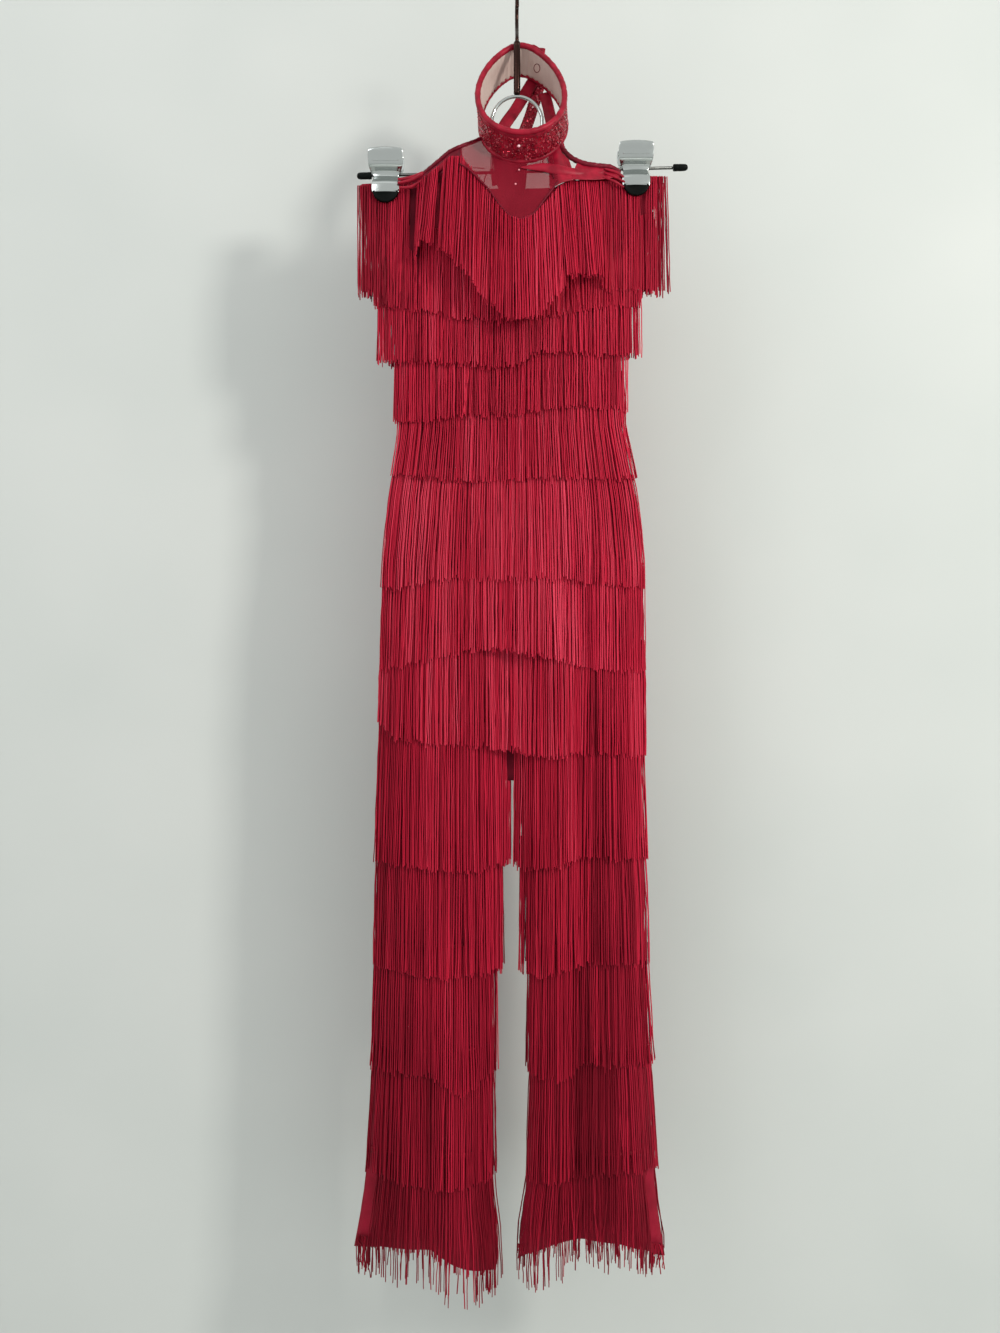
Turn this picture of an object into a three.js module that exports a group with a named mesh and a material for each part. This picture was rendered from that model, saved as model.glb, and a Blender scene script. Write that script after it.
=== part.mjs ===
// A fringed dance jumpsuit with a halter collar, hung flat from a trouser hanger by two spring clips.
// Millimetres, +X to the viewer's right, +Y away from the viewer, +Z up.
// The origin is the point under the top of the hook that bears on a rail.
// Left and right in the names are the wearer's, so the wearer's right is at -X.
import * as THREE from "three";

// ---- driving dimensions ----

const clothThick = 1.2; // stretch mesh with its lining, as a wall
const seamGap = 0.3; // between two sewn pieces
const halfSeam = (clothThick + seamGap) / 2; // middle of a wall from the middle plane at a side seam

const clipLineZ = -222; // the top edge between the clips
const waistZ = -515;
const crotchZ = -815;
const crotchX = -6;
const forkTop = -690; // the section starts to part into two legs here

// The hanger: a round bar, an arch, a tube neck and a hook that stands square to the bar.
const bar = { radius: 1.8, left: -174, right: 187, leftZ: -211, rightZ: -201.5 };
const arch = { radius: 2, halfWidth: 30, apexZ: -116 };
const neck = { radius: 4, topZ: -50 };
const hook = { radius: 2.25, innerRadius: 15, fromTurn: -0.1, toTurn: 3.42 };
const endCap = { radius: 4.2, length: 18 };
const clips = [
  { name: "right", x: -157, seatZ: -219 },
  { name: "left", x: 142, seatZ: -209 },
];

const nipReach = { x: 55, z: 110 }; // how far the clips' nip draws the front and the back together

// Cloth outline of the body, from the bust to the crotch, with the bulge of its front and back.
const body = [
  { z: -205, left: -189, right: 178, front: 24, back: 16 },
  { z: -246, left: -183, right: 167, front: 27, back: 18 },
  { z: -307, left: -171, right: 147, front: 30, back: 20 },
  { z: -370, left: -146, right: 127, front: 28, back: 20 },
  { z: -444, left: -141, right: 125, front: 24, back: 18 },
  { z: -515, left: -140, right: 126, front: 22, back: 17 },
  { z: -565, left: -148, right: 137, front: 24, back: 20 },
  { z: -648, left: -158, right: 147, front: 26, back: 23 },
  { z: -690, left: -160, right: 149, front: 26, back: 23 },
  { z: -815, left: -163, right: 148, front: 25, back: 22 },
];

// Outline of each leg, from where the body forks to the hem.
const legs = {
  right: [
    { z: -690, outer: -160, inner: -6, front: 24, back: 20 },
    { z: -815, outer: -163, inner: -9, front: 23, back: 18 },
    { z: -960, outer: -166, inner: -17, front: 22, back: 17 },
    { z: -1080, outer: -168, inner: -27, front: 22, back: 17 },
    { z: -1200, outer: -170, inner: -29, front: 23, back: 17 },
    { z: -1296, outer: -173, inner: -33, front: 24, back: 18 },
    { z: -1416, outer: -180, inner: -32, front: 27, back: 20 },
    { z: -1500, outer: -193, inner: -25, front: 30, back: 22 },
  ],
  left: [
    { z: -690, outer: 149, inner: -6, front: 24, back: 20 },
    { z: -815, outer: 148, inner: -3, front: 23, back: 18 },
    { z: -960, outer: 148, inner: 3, front: 22, back: 17 },
    { z: -1080, outer: 152, inner: 11, front: 22, back: 17 },
    { z: -1200, outer: 153, inner: 18, front: 22, back: 17 },
    { z: -1296, outer: 158, inner: 16, front: 23, back: 18 },
    { z: -1416, outer: 164, inner: 13, front: 26, back: 20 },
    { z: -1500, outer: 173, inner: 0, front: 28, back: 22 },
  ],
};
const hems = {
  right: { outer: -1484, middle: -1489, inner: -1500 },
  left: { outer: -1493, middle: -1482, inner: -1495 },
};

// Long soft folds. x runs from the fold's top to its foot; a negative height is a trough.
const folds = [
  { side: -1, topX: -78, footX: -66, topZ: -560, footZ: -1180, width: 24, height: 7 },
  { side: -1, topX: -62, footX: -52, topZ: -1180, footZ: -1520, width: 26, height: 9 },
  { side: -1, topX: -46, footX: -44, topZ: -600, footZ: -1040, width: 14, height: -5 },
  { side: -1, topX: 74, footX: 62, topZ: -560, footZ: -1520, width: 17, height: -8 },
  { side: -1, topX: 118, footX: 130, topZ: -620, footZ: -1520, width: 20, height: 5 },
  { side: 1, topX: -90, footX: -112, topZ: -600, footZ: -1520, width: 24, height: 6 },
  { side: 1, topX: 70, footX: 96, topZ: -600, footZ: -1520, width: 24, height: 6 },
];

const foldEase = 5; // a fold comes up to its height over one part in this many of its length

// Top edge of the fringed front: level at the clips, and a deep V under the sheer yoke.
const frontTop = [
  { x: -192, z: -222 },
  { x: -165, z: -220 },
  { x: -138, z: -221 },
  { x: -112, z: -220 },
  { x: -90, z: -217 },
  { x: -66, z: -205 },
  { x: -44, z: -227 },
  { x: -22, z: -255 },
  { x: 0, z: -269 },
  { x: 22, z: -258 },
  { x: 47, z: -228 },
  { x: 75, z: -223 },
  { x: 103, z: -218 },
  { x: 130, z: -210 },
  { x: 154, z: -210 },
  { x: 180, z: -218 },
];
const backTop = { left: -222, middle: -220, right: -214 };

// Fringe tiers. Each is a narrow heading tape with locks that hang from it. The tape lies a little off the cloth
// and passes its side seams. Heights are at the left edge, the middle and the right edge.
const tape = { height: 8, thick: 1.5, off: 0.6, past: 1.2 };
const lock = { apart: 2, lean: 0.08, ragged: 3, raggedTurn: 2.4, narrows: 0.5 };
const topTier = { drop: 3, length: 127, lean: 0.12, shortX: -92, shortWidth: 17, shortBy: 38 };
const bodyTiers = [
  { name: "bust_upper", head: [-268, -318, -265], end: [-367, -397, -374] },
  { name: "bust_lower", head: [-322, -366, -318], end: [-432, -448, -424] },
  { name: "ribs", head: [-385, -418, -380], end: [-503, -505, -491] },
  { name: "waist", head: [-449, -470, -445], end: [-577, -580, -573] },
  { name: "hip_upper", head: [-568, -564, -570], end: [-700, -693, -706] },
  { name: "hip_lower", head: [-674, -660, -676], end: [-804, -786, -806] },
  { name: "seat", head: [-766, -758, -768], end: [-888, -898, -903] },
];
const legTiers = [
  { name: "thigh", head: -893, end: -1033 },
  { name: "knee", head: -1003, end: -1158 },
  { name: "calf", head: -1128, end: -1281 },
  { name: "shin", head: -1251, end: -1403 },
  { name: "hem", head: -1373, end: -1526 },
];
const bodyLocks = { front: 9, back: 7 };
const legLocks = { front: 4, back: 4 };
const topBackLocks = 7;

// The collar is a band on a tilted ring: its front rim is low and near, its back rim high and behind the neck.
const collar = {
  frontRim: { y: -52, z: -183 },
  backRim: { y: 8.6, z: -53 },
  x: 4.5,
  halfWidth: 52,
  pinch: 0.14, // the ring is narrower at its back by this share
  fall: { y: 32, z: -20 }, // from the rim to the lower seam
  taper: 0.84, // the lower seam's width as a share of the rim's
  thick: 1.2,
  lining: 1,
  rimBinding: 2.1, // half the binding's height and thickness
  seamBinding: 1.9,
  steps: 32,
};
const collarBandSpan = { from: 0.07, to: 0.94 }; // between the two bindings
const collarTab = { x: 30, out: 5, up: 9, turned: 0.5, width: 12, height: 14, thick: 2 };

// The sheer yoke's top edge, from the armhole on the left and then along the collar's lower seam.
const yokeTop = [
  { x: -55, y: -17, z: -199 },
  { x: -44, y: -14.5, z: -189 },
  { x: -33, y: -12, z: -185 },
  { x: -22, y: -16, z: -196 },
  { x: -11, y: -18.5, z: -204 },
  { x: 0, y: -20, z: -208 },
  { x: 11, y: -19.5, z: -208 },
  { x: 22, y: -17.5, z: -205 },
  { x: 34.5, y: -13, z: -196 },
  { x: 47, y: -9, z: -189 },
];

// Satin bindings of the armholes, as x, y, z from the collar's lower seam to the clips.
const bindings = [
  {
    name: "armhole_binding_right",
    radius: 1.7,
    points: [
      [-40.3, -4, -168.9],
      [-44, -13, -185.6],
      [-55, -17, -195.4],
      [-66, -20, -202.4],
      [-90, -14.6, -213.8],
      [-114, -7.4, -217.6],
    ],
  },
  {
    name: "armhole_binding_left",
    radius: 2,
    points: [
      [49.3, -4, -168.9],
      [60, -13, -190],
      [80, -14, -203],
      [98, -9.3, -209.5],
      [112, -6, -209],
    ],
  },
];
// A satin strap from the yoke's middle along the neckline to the wearer's left armhole.
const halterStrap = {
  halfWidth: 3.6,
  thick: 1.4,
  points: [
    [10, -23.6, -214],
    [32, -23.2, -221],
    [50, -27.4, -224],
    [64, -22.6, -222],
    [78, -16.9, -218],
    [98, -9.4, -214.9],
  ],
};
// Three straps cross the open back and meet at the nape, behind the collar.
const backStraps = [
  { name: "back_strap_right", points: [[-62, 15, -215.5], [-28, 20, -152], [0, 29, -116], [20, 41, -82]] },
  { name: "back_strap_middle", points: [[-16, 17.2, -217], [6, 24, -156], [18, 34, -120], [27, 45, -86]] },
  { name: "back_strap_left", points: [[66, 13.2, -216.7], [46, 22, -150], [38, 31, -112], [34, 35.2, -95]] },
];
const strap = { halfWidth: 7, thick: 1.6 };

// A clip's plate from the lever's top to the jaw's tip: height over the bar, distance out and half its width.
const clipPlate = [
  { up: 30, out: 12.5, half: 19 },
  { up: 27, out: 14.5, half: 20 },
  { up: 8, out: 10, half: 20 },
  { up: 3, out: 3.2, half: 17 },
  { up: -3, out: 2.8, half: 14 },
  { up: -9, out: 7.5, half: 15 },
  { up: -14, out: 10.6, half: 16 },
  { up: -24, out: 10.6, half: 15.5 },
];
const clip = { thick: 1.2, bow: 1.6, pad: { radius: 14.5, top: -24.3, height: 13, from: 8.5, to: 11.9 } };

// ---- small maths ----

const mix = (a, b, t) => a + (b - a) * t;
const clamp01 = (t) => Math.min(1, Math.max(0, t));
const smooth = (t) => clamp01(t) ** 2 * (3 - 2 * clamp01(t));
const bump = (t) => Math.exp(-t * t);
const list = (n, make) => Array.from({ length: n }, (_, i) => make(i));
const evenly = (count) => list(count + 1, (i) => i / count);

// A column of a table at a height, on a smooth curve through the rows, which run downwards.
function atHeight(rows, height, column) {
  const z = Math.max(rows.at(-1).z, Math.min(rows[0].z, height));
  let i = 0;
  while (i < rows.length - 2 && z < rows[i + 1].z) i++;
  const [a, b] = [rows[i], rows[i + 1]];
  const before = rows[Math.max(0, i - 1)];
  const after = rows[Math.min(rows.length - 1, i + 2)];
  const step = b.z - a.z;
  const t = (z - a.z) / step;
  const slopeA = ((b[column] - before[column]) / (b.z - before.z)) * step;
  const slopeB = ((after[column] - a[column]) / (after.z - a.z)) * step;
  const t2 = t * t;
  const t3 = t2 * t;
  return (
    (2 * t3 - 3 * t2 + 1) * a[column] + (t3 - 2 * t2 + t) * slopeA +
    (3 * t2 - 2 * t3) * b[column] + (t3 - t2) * slopeB
  );
}

// A height that differs at the left edge, the middle and the right edge of a panel; t runs from -1 to 1.
const across = ([left, middle, right], t) => middle + ((t < 0 ? left : right) - middle) * t * t;

// ---- the garment's surface ----

const bulge = (t) => Math.max(0, 1 - t * t) ** 0.75;
const legAt = (name, z, column) => atHeight(legs[name], z, column);
const bodyAt = (z, column) => atHeight(body, z, column);
const gapMiddle = (z) => (legAt("right", z, "inner") + legAt("left", z, "inner")) / 2;
const legOf = (x, z) => (x < gapMiddle(z) ? "right" : "left");

// Share of a section's half width, -1 to 1, at a place across it.
const shareOf = (x, low, high) => Math.max(-1, Math.min(1, (2 * x - low - high) / (high - low)));

function foldsAt(side, x, z) {
  let sum = 0;
  for (const f of folds.filter((fold) => fold.side === side)) {
    const t = (f.topZ - z) / (f.topZ - f.footZ);
    if (t <= 0 || t >= 1) continue;
    const runsOut = f.footZ < hems.right.inner; // past the hem, so it keeps its height there
    const rise = smooth(t * foldEase) * (runsOut ? 1 : smooth((1 - t) * foldEase));
    sum += f.height * rise * bump((x - mix(f.topX, f.footX, t)) / f.width);
  }
  return sum;
}

// How far the middle of the wall stands from the middle plane. Side -1 is the front and 1 the back.
function standOff(side, x, z) {
  const depth = side < 0 ? "front" : "back";
  const bodyShare = shareOf(x, bodyAt(z, "left"), bodyAt(z, "right"));
  const name = legOf(x, z);
  const legShare = shareOf(x, legAt(name, z, "inner"), legAt(name, z, "outer"));
  const fork = smooth((forkTop - z) / (forkTop - crotchZ));
  const whole = bodyAt(z, depth) * bulge(bodyShare);
  const parted = legAt(name, z, depth) * bulge(legShare);
  const share = mix(bodyShare, legShare, fork);
  const folded = foldsAt(side, x, z) * (1 - share ** 4);
  const nip = Math.max(...clips.map((c) => bump((x - c.x) / nipReach.x) * bump((z - c.seatZ) / nipReach.z)));
  return halfSeam + Math.max(0, mix(whole, parted, fork) + folded) * (1 - nip);
}
const wallY = (side, x, z) => side * standOff(side, x, z);

// ---- solids ----

// A closed solid between two matching grids of points. With ring, the last column meets the first.
function shell(outside, inside, ring = false) {
  const rows = outside.length;
  const columns = outside[0].length;
  const points = [...outside.flat(), ...inside.flat()];
  const half = rows * columns;
  const id = (layer, i, j) => layer * half + i * columns + (j % columns);
  const index = [];
  const quad = (a, b, c, d) => index.push(a, b, c, a, c, d);
  const wide = ring ? columns : columns - 1;
  for (let i = 0; i < rows - 1; i++)
    for (let j = 0; j < wide; j++) {
      quad(id(0, i, j), id(0, i + 1, j), id(0, i + 1, j + 1), id(0, i, j + 1));
      quad(id(1, i, j), id(1, i, j + 1), id(1, i + 1, j + 1), id(1, i + 1, j));
    }
  for (let j = 0; j < wide; j++) {
    quad(id(0, 0, j), id(0, 0, j + 1), id(1, 0, j + 1), id(1, 0, j));
    const last = rows - 1;
    quad(id(0, last, j + 1), id(0, last, j), id(1, last, j), id(1, last, j + 1));
  }
  if (!ring)
    for (let i = 0; i < rows - 1; i++) {
      quad(id(0, i + 1, 0), id(0, i, 0), id(1, i, 0), id(1, i + 1, 0));
      const last = columns - 1;
      quad(id(0, i, last), id(0, i + 1, last), id(1, i + 1, last), id(1, i, last));
    }
  let volume = 0;
  for (let k = 0; k < index.length; k += 3) {
    const [a, b, c] = [points[index[k]], points[index[k + 1]], points[index[k + 2]]];
    volume += a.dot(new THREE.Vector3().crossVectors(b, c));
  }
  if (volume < 0) index.reverse();
  return new THREE.BufferGeometry().setFromPoints(points).setIndex(index);
}

// A sheet with its thickness along Y, from a grid of points on its middle.
function sheetAlongY(grid, thick) {
  const moved = (by) => grid.map((row) => row.map((p) => new THREE.Vector3(p.x, p.y + by, p.z)));
  return shell(moved(-thick / 2), moved(thick / 2));
}

function roundTube(curve, radius, sides, steps) {
  const outline = list(sides, (i) => {
    const a = (2 * Math.PI * i) / sides;
    return new THREE.Vector2(radius * Math.cos(a), radius * Math.sin(a));
  });
  const extrusion = { steps, extrudePath: curve, bevelEnabled: false };
  return new THREE.ExtrudeGeometry(new THREE.Shape(outline), extrusion);
}

// ---- materials ----

function finish(color, roughness, metalness = 0) {
  return new THREE.MeshStandardMaterial({ color, roughness, metalness });
}
const meshCloth = finish("#7d1423", 0.6);
const sheer = finish("#8e2a3a", 0.5);
const nude = finish("#c3a79f", 0.7);
const satin = finish("#6d0f1e", 0.35);
const rayon = finish("#9b1f33", 0.45);
const chrome = finish("#c8ccce", 0.12, 1);
const rubber = finish("#15191a", 0.6);

const jumpsuit = new THREE.Group();
const hangerGroup = new THREE.Group();

function place(group, name, geometry, material) {
  const mesh = new THREE.Mesh(geometry, material);
  mesh.name = name;
  group.add(mesh);
}

// ---- the cut pieces of cloth ----

// The front's top edge runs straight between the stops of its table.
const clipEdges = [bodyAt(clipLineZ, "left"), bodyAt(clipLineZ, "right")];
const frontStops = frontTop.map((p) => shareOf(p.x, ...clipEdges) / 2 + 0.5);
function frontTopAt(x) {
  const k = Math.max(0, Math.min(frontTop.length - 2, frontTop.findLastIndex((p) => p.x <= x)));
  const [a, b] = [frontTop[k], frontTop[k + 1]];
  return mix(a.z, b.z, clamp01((x - a.x) / (b.x - a.x)));
}
const backTopAt = (t) => across([backTop.left, backTop.middle, backTop.right], t);

function bodicePanel(side) {
  const rows = 8;
  const stops = side < 0 ? frontStops : evenly(14);
  const bottom = waistZ + seamGap / 2;
  const grid = list(rows + 1, (i) =>
    stops.map((f) => {
      const top = side < 0 ? frontTopAt(mix(...clipEdges, f)) : backTopAt(2 * f - 1);
      const z = mix(top, bottom, i / rows);
      const edgeZ = mix(clipLineZ, bottom, i / rows);
      const x = mix(bodyAt(edgeZ, "left"), bodyAt(edgeZ, "right"), f);
      return new THREE.Vector3(x, wallY(side, x, z), z);
    }),
  );
  return sheetAlongY(grid, clothThick);
}

// Above the crotch a leg panel runs to the middle seam, and below it to the inseam.
function legPanel(name, side) {
  const [columns, rows] = [6, 12];
  const sign = name === "right" ? -1 : 1;
  const hem = hems[name];
  const grid = list(rows + 1, (i) =>
    list(columns + 1, (j) => {
      const share = j / columns;
      const [near, far] = share > 0.5 ? [hem.middle, hem.outer] : [hem.inner, hem.middle];
      const foot = mix(near, far, share > 0.5 ? share * 2 - 1 : share * 2);
      const z = mix(waistZ - seamGap / 2, foot, i / rows);
      const seam = crotchX + (sign * seamGap) / 2;
      const below = z < forkTop ? legAt(name, z, "inner") : seam;
      const inner = sign * Math.max(sign * seam, sign * below);
      const outer = z < forkTop ? legAt(name, z, "outer") : bodyAt(z, sign < 0 ? "left" : "right");
      const x = mix(inner, outer, share);
      return new THREE.Vector3(x, wallY(side, x, z), z);
    }),
  );
  return sheetAlongY(grid, clothThick);
}

place(jumpsuit, "bodice_front", bodicePanel(-1), meshCloth);
place(jumpsuit, "bodice_back", bodicePanel(1), meshCloth);
for (const name of ["right", "left"]) {
  place(jumpsuit, `${name}_leg_front`, legPanel(name, -1), meshCloth);
  place(jumpsuit, `${name}_leg_back`, legPanel(name, 1), meshCloth);
}

// ---- fringe ----

// A place on a tier: side -1 is the front and 1 the back, and f runs from 0 at the left edge to 1 at the right.
// An outline gives the left and right edge at a height.
const xAt = (outline, f, z) => mix(...outline(z), f);

// How far a straight edge between two places must stand off so that the wall between them doesn't cross it.
function chordClearance(side, outline, from, to, z) {
  const stand = (f) => standOff(side, xAt(outline, f, z), z);
  const past = (s) => stand(mix(from, to, s)) - mix(stand(from), stand(to), s);
  return Math.max(0, ...[0.2, 0.35, 0.5, 0.65, 0.8].map(past));
}

// One tier as one closed solid: a ring of tape round the front and the back, and locks that grow from its edge.
function fringeTier({ outline, frontStops, backStops, headAt, endAt, lean = lock.lean }) {
  const columns = [];
  for (const [side, stops] of [[-1, frontStops], [1, backStops]])
    for (let k = 0; k < stops.length - 1; k++) columns.push({ side, from: stops[k], to: stops[k + 1] });
  const clearanceAt = (side, f) => {
    const near = columns.filter((c) => c.side === side && (c.from === f || c.to === f));
    const z = headAt(side, f) - tape.height;
    return Math.max(...near.map((c) => chordClearance(side, outline, c.from, c.to, z)));
  };
  const station = (side, f) => {
    const edge = f === 0 ? -1 : f === 1 ? 1 : 0;
    const head = headAt(side, f);
    const clear = clearanceAt(side, f);
    const point = (z, extra) => {
      const x = xAt(outline, f, z);
      const y = standOff(side, x, z) + clothThick / 2 + tape.off + clear + extra;
      return new THREE.Vector3(x + edge * (tape.past + extra), side * y, z);
    };
    const bottom = head - tape.height;
    return {
      top: [point(head, tape.thick), point(head, 0)],
      foot: [point(bottom, tape.thick), point(bottom, 0)],
      side,
      f,
    };
  };
  const triangles = [];
  const face = (...p) => {
    for (let i = 1; i < p.length - 1; i++) triangles.push(p[0], p[i], p[i + 1]);
  };
  const bare = (a, b) => {
    face(a.top[0], a.foot[0], b.foot[0], b.top[0]);
    face(a.top[1], b.top[1], b.foot[1], a.foot[1]);
    face(a.top[0], b.top[0], b.top[1], a.top[1]);
    face(a.foot[0], a.foot[1], b.foot[1], b.foot[0]);
  };
  const withLock = (a, b, k) => {
    const width = a.foot[0].distanceTo(b.foot[0]);
    const inset = lock.apart / 2 / width;
    const root = (t) => [0, 1].map((layer) => a.foot[layer].clone().lerp(b.foot[layer], t));
    const [ra, rb] = [root(inset), root(1 - inset)];
    const feet = [[ra, inset], [rb, 1 - inset]].map(([r, t]) => {
      const f = mix(a.f, b.f, t);
      const z = endAt(a.side, f) + lock.ragged * Math.sin(k * lock.raggedTurn + a.side);
      const moved = xAt(outline, f, z) - xAt(outline, f, r[1].z);
      const outwards = moved * (f - 0.5) > 0;
      const x = (layer) => r[layer].x + moved * (outwards ? 1 : lock.narrows);
      const wall = (at) => {
        const past = chordClearance(a.side, outline, a.f, b.f, at);
        return standOff(a.side, xAt(outline, f, at), at) + clothThick / 2 + tape.off + past;
      };
      // The lock runs straight to its foot, far enough out to clear the wall on the way.
      const rootY = Math.abs(r[1].y);
      const rise = Math.max(0, ...[0.25, 0.5, 0.75, 1].map((s) => (wall(mix(r[1].z, z, s)) - rootY) / s));
      const stand = rootY + rise + lean * (r[1].z - z);
      return [tape.thick, 0].map((extra, layer) => new THREE.Vector3(x(layer), a.side * (stand + extra), z));
    });
    const [fa, fb] = feet;
    face(a.top[0], a.foot[0], ra[0], rb[0], b.top[0]);
    face(b.top[0], rb[0], b.foot[0]);
    face(a.top[1], b.top[1], rb[1], ra[1], a.foot[1]);
    face(b.top[1], b.foot[1], rb[1]);
    face(a.top[0], b.top[0], b.top[1], a.top[1]);
    face(a.foot[0], a.foot[1], ra[1], ra[0]);
    face(rb[0], rb[1], b.foot[1], b.foot[0]);
    face(ra[0], fa[0], fb[0], rb[0]);
    face(ra[1], rb[1], fb[1], fa[1]);
    face(ra[0], ra[1], fa[1], fa[0]);
    face(rb[0], fb[0], fb[1], rb[1]);
    face(fa[0], fa[1], fb[1], fb[0]);
  };
  const front = frontStops.map((f) => station(-1, f));
  const back = backStops.map((f) => station(1, f)).reverse();
  for (let k = 0; k < front.length - 1; k++) withLock(front[k], front[k + 1], k);
  bare(front.at(-1), back[0]);
  for (let k = 0; k < back.length - 1; k++) withLock(back[k], back[k + 1], k);
  bare(back.at(-1), front[0]);
  return new THREE.BufferGeometry().setFromPoints(triangles);
}

// The top tier follows the clipped edge and the V of the yoke. Its locks hang straight.
function topTierSolid() {
  const stopX = (f) => mix(...clipEdges, f);
  const headAt = (side, f) => (side < 0 ? frontTopAt(stopX(f)) : backTopAt(2 * f - 1)) - topTier.drop;
  const short = (f) => topTier.shortBy * bump((stopX(f) - topTier.shortX) / topTier.shortWidth);
  const endAt = (side, f) => headAt(side, f) - topTier.length + (side < 0 ? short(f) : 0);
  const outline = () => clipEdges;
  const backStops = evenly(topBackLocks);
  return fringeTier({ outline, frontStops, backStops, headAt, endAt, lean: topTier.lean });
}

function bodyTierSolid(tier) {
  return fringeTier({
    outline: (z) => [bodyAt(z, "left"), bodyAt(z, "right")],
    frontStops: evenly(bodyLocks.front),
    backStops: evenly(bodyLocks.back),
    headAt: (_, f) => across(tier.head, 2 * f - 1),
    endAt: (_, f) => across(tier.end, 2 * f - 1),
  });
}

function legTierSolid(name, tier) {
  const columns = name === "right" ? ["outer", "inner"] : ["inner", "outer"];
  return fringeTier({
    outline: (z) => columns.map((column) => legAt(name, z, column)),
    frontStops: evenly(legLocks.front),
    backStops: evenly(legLocks.back),
    headAt: () => tier.head,
    endAt: () => tier.end,
  });
}

place(jumpsuit, "fringe_top", topTierSolid(), rayon);
for (const tier of bodyTiers) place(jumpsuit, `fringe_${tier.name}`, bodyTierSolid(tier), rayon);
for (const name of ["right", "left"])
  for (const tier of legTiers) place(jumpsuit, `fringe_${name}_${tier.name}`, legTierSolid(name, tier), rayon);

// ---- collar, yoke, bindings and straps ----

// A point of the collar. Turn 0 is the middle of the front; down is 0 at the rim and 1 at the lower seam.
function collarPoint(turn, down, inwards = 0) {
  const middleY = (collar.frontRim.y + collar.backRim.y) / 2;
  const middleZ = (collar.frontRim.z + collar.backRim.z) / 2;
  const forward = Math.cos(turn);
  const half = (collar.halfWidth - inwards) * mix(1, collar.taper, down);
  const reach = 1 - inwards / collar.halfWidth;
  return new THREE.Vector3(
    collar.x + half * Math.sin(turn) * (1 + collar.pinch * forward),
    middleY + (collar.frontRim.y - middleY) * forward * reach + collar.fall.y * down,
    middleZ + (collar.frontRim.z - middleZ) * forward * reach + collar.fall.z * down,
  );
}

const turns = list(collar.steps, (i) => (2 * Math.PI * i) / collar.steps);

function collarBand(inwards, thick) {
  const downs = list(3, (i) => mix(collarBandSpan.from, collarBandSpan.to, i / 2));
  const layer = (extra) => downs.map((down) => turns.map((turn) => collarPoint(turn, down, inwards + extra)));
  return shell(layer(0), layer(thick), true);
}

// A binding folded over an edge of the band, square in section, with its long side along the band.
function collarRing(down, half, inwards) {
  const reach = half / Math.hypot(collar.fall.y, collar.fall.z);
  const row = (end, extra) => turns.map((turn) => collarPoint(turn, down + end * reach, inwards + extra));
  return shell([row(-1, -half), row(1, -half)], [row(-1, half), row(1, half)], true);
}

const bandMiddle = (collar.thick + seamGap + collar.lining) / 2;
place(jumpsuit, "collar_band", collarBand(0, collar.thick), satin);
place(jumpsuit, "collar_lining", collarBand(collar.thick + seamGap, collar.lining), nude);
place(jumpsuit, "collar_binding_top", collarRing(0, collar.rimBinding, bandMiddle), satin);
place(jumpsuit, "collar_binding_lower", collarRing(1, collar.seamBinding, bandMiddle), satin);

// The yoke spans from the V seam up to the collar's lower seam.
function yoke() {
  const rows = 3;
  const seamY = (x) => {
    const k = frontTop.findLastIndex((p) => p.x <= x);
    const [a, b] = [frontTop[k], frontTop[k + 1]];
    return mix(wallY(-1, a.x, a.z), wallY(-1, b.x, b.z), (x - a.x) / (b.x - a.x));
  };
  const grid = list(rows + 1, (i) =>
    yokeTop.map((top) => {
      const z = mix(top.z, frontTopAt(top.x) + seamGap, i / rows);
      return new THREE.Vector3(top.x, mix(top.y, seamY(top.x), i / rows), z);
    }),
  );
  return sheetAlongY(grid, clothThick);
}
place(jumpsuit, "yoke_front", yoke(), sheer);

// A flat strap along a curve, with its width square to the curve and its thickness along Y.
function flatStrap(points, halfWidth, thick, steps) {
  const curve = new THREE.CatmullRomCurve3(points.map((p) => new THREE.Vector3(...p)));
  const grid = list(steps + 1, (i) => {
    const at = curve.getPointAt(i / steps);
    const way = curve.getTangentAt(i / steps);
    const out = new THREE.Vector3(-way.z, 0, way.x).normalize().multiplyScalar(halfWidth);
    return [at.clone().add(out), at, at.clone().sub(out)];
  });
  return sheetAlongY(grid, thick);
}

for (const { name, points, radius } of bindings) {
  const curve = new THREE.CatmullRomCurve3(points.map((p) => new THREE.Vector3(...p)));
  place(jumpsuit, name, roundTube(curve, radius, 6, 8), satin);
}
const { points: halterPoints, halfWidth: halterHalf, thick: halterThick } = halterStrap;
place(jumpsuit, "halter_strap_left", flatStrap(halterPoints, halterHalf, halterThick, 8), satin);
for (const { name, points } of backStraps)
  place(jumpsuit, name, flatStrap(points, strap.halfWidth, strap.thick, 8), satin);

function closureTab() {
  const turn = Math.PI - Math.asin(collarTab.x / collar.halfWidth);
  const at = collarPoint(turn, 0);
  const geometry = new THREE.BoxGeometry(collarTab.width, collarTab.thick, collarTab.height);
  geometry.rotateY(collarTab.turned);
  return geometry.translate(at.x + collarTab.out, at.y, at.z + collarTab.up);
}
place(jumpsuit, "collar_tab", closureTab(), satin);

// ---- hanger ----

const barZ = (x) => mix(bar.leftZ, bar.rightZ, (x - bar.left) / (bar.right - bar.left));
const barPoint = (x) => new THREE.Vector3(x, 0, barZ(x));
const rod = (from, to, radius, sides) => roundTube(new THREE.LineCurve3(from, to), radius, sides, 1);

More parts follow.
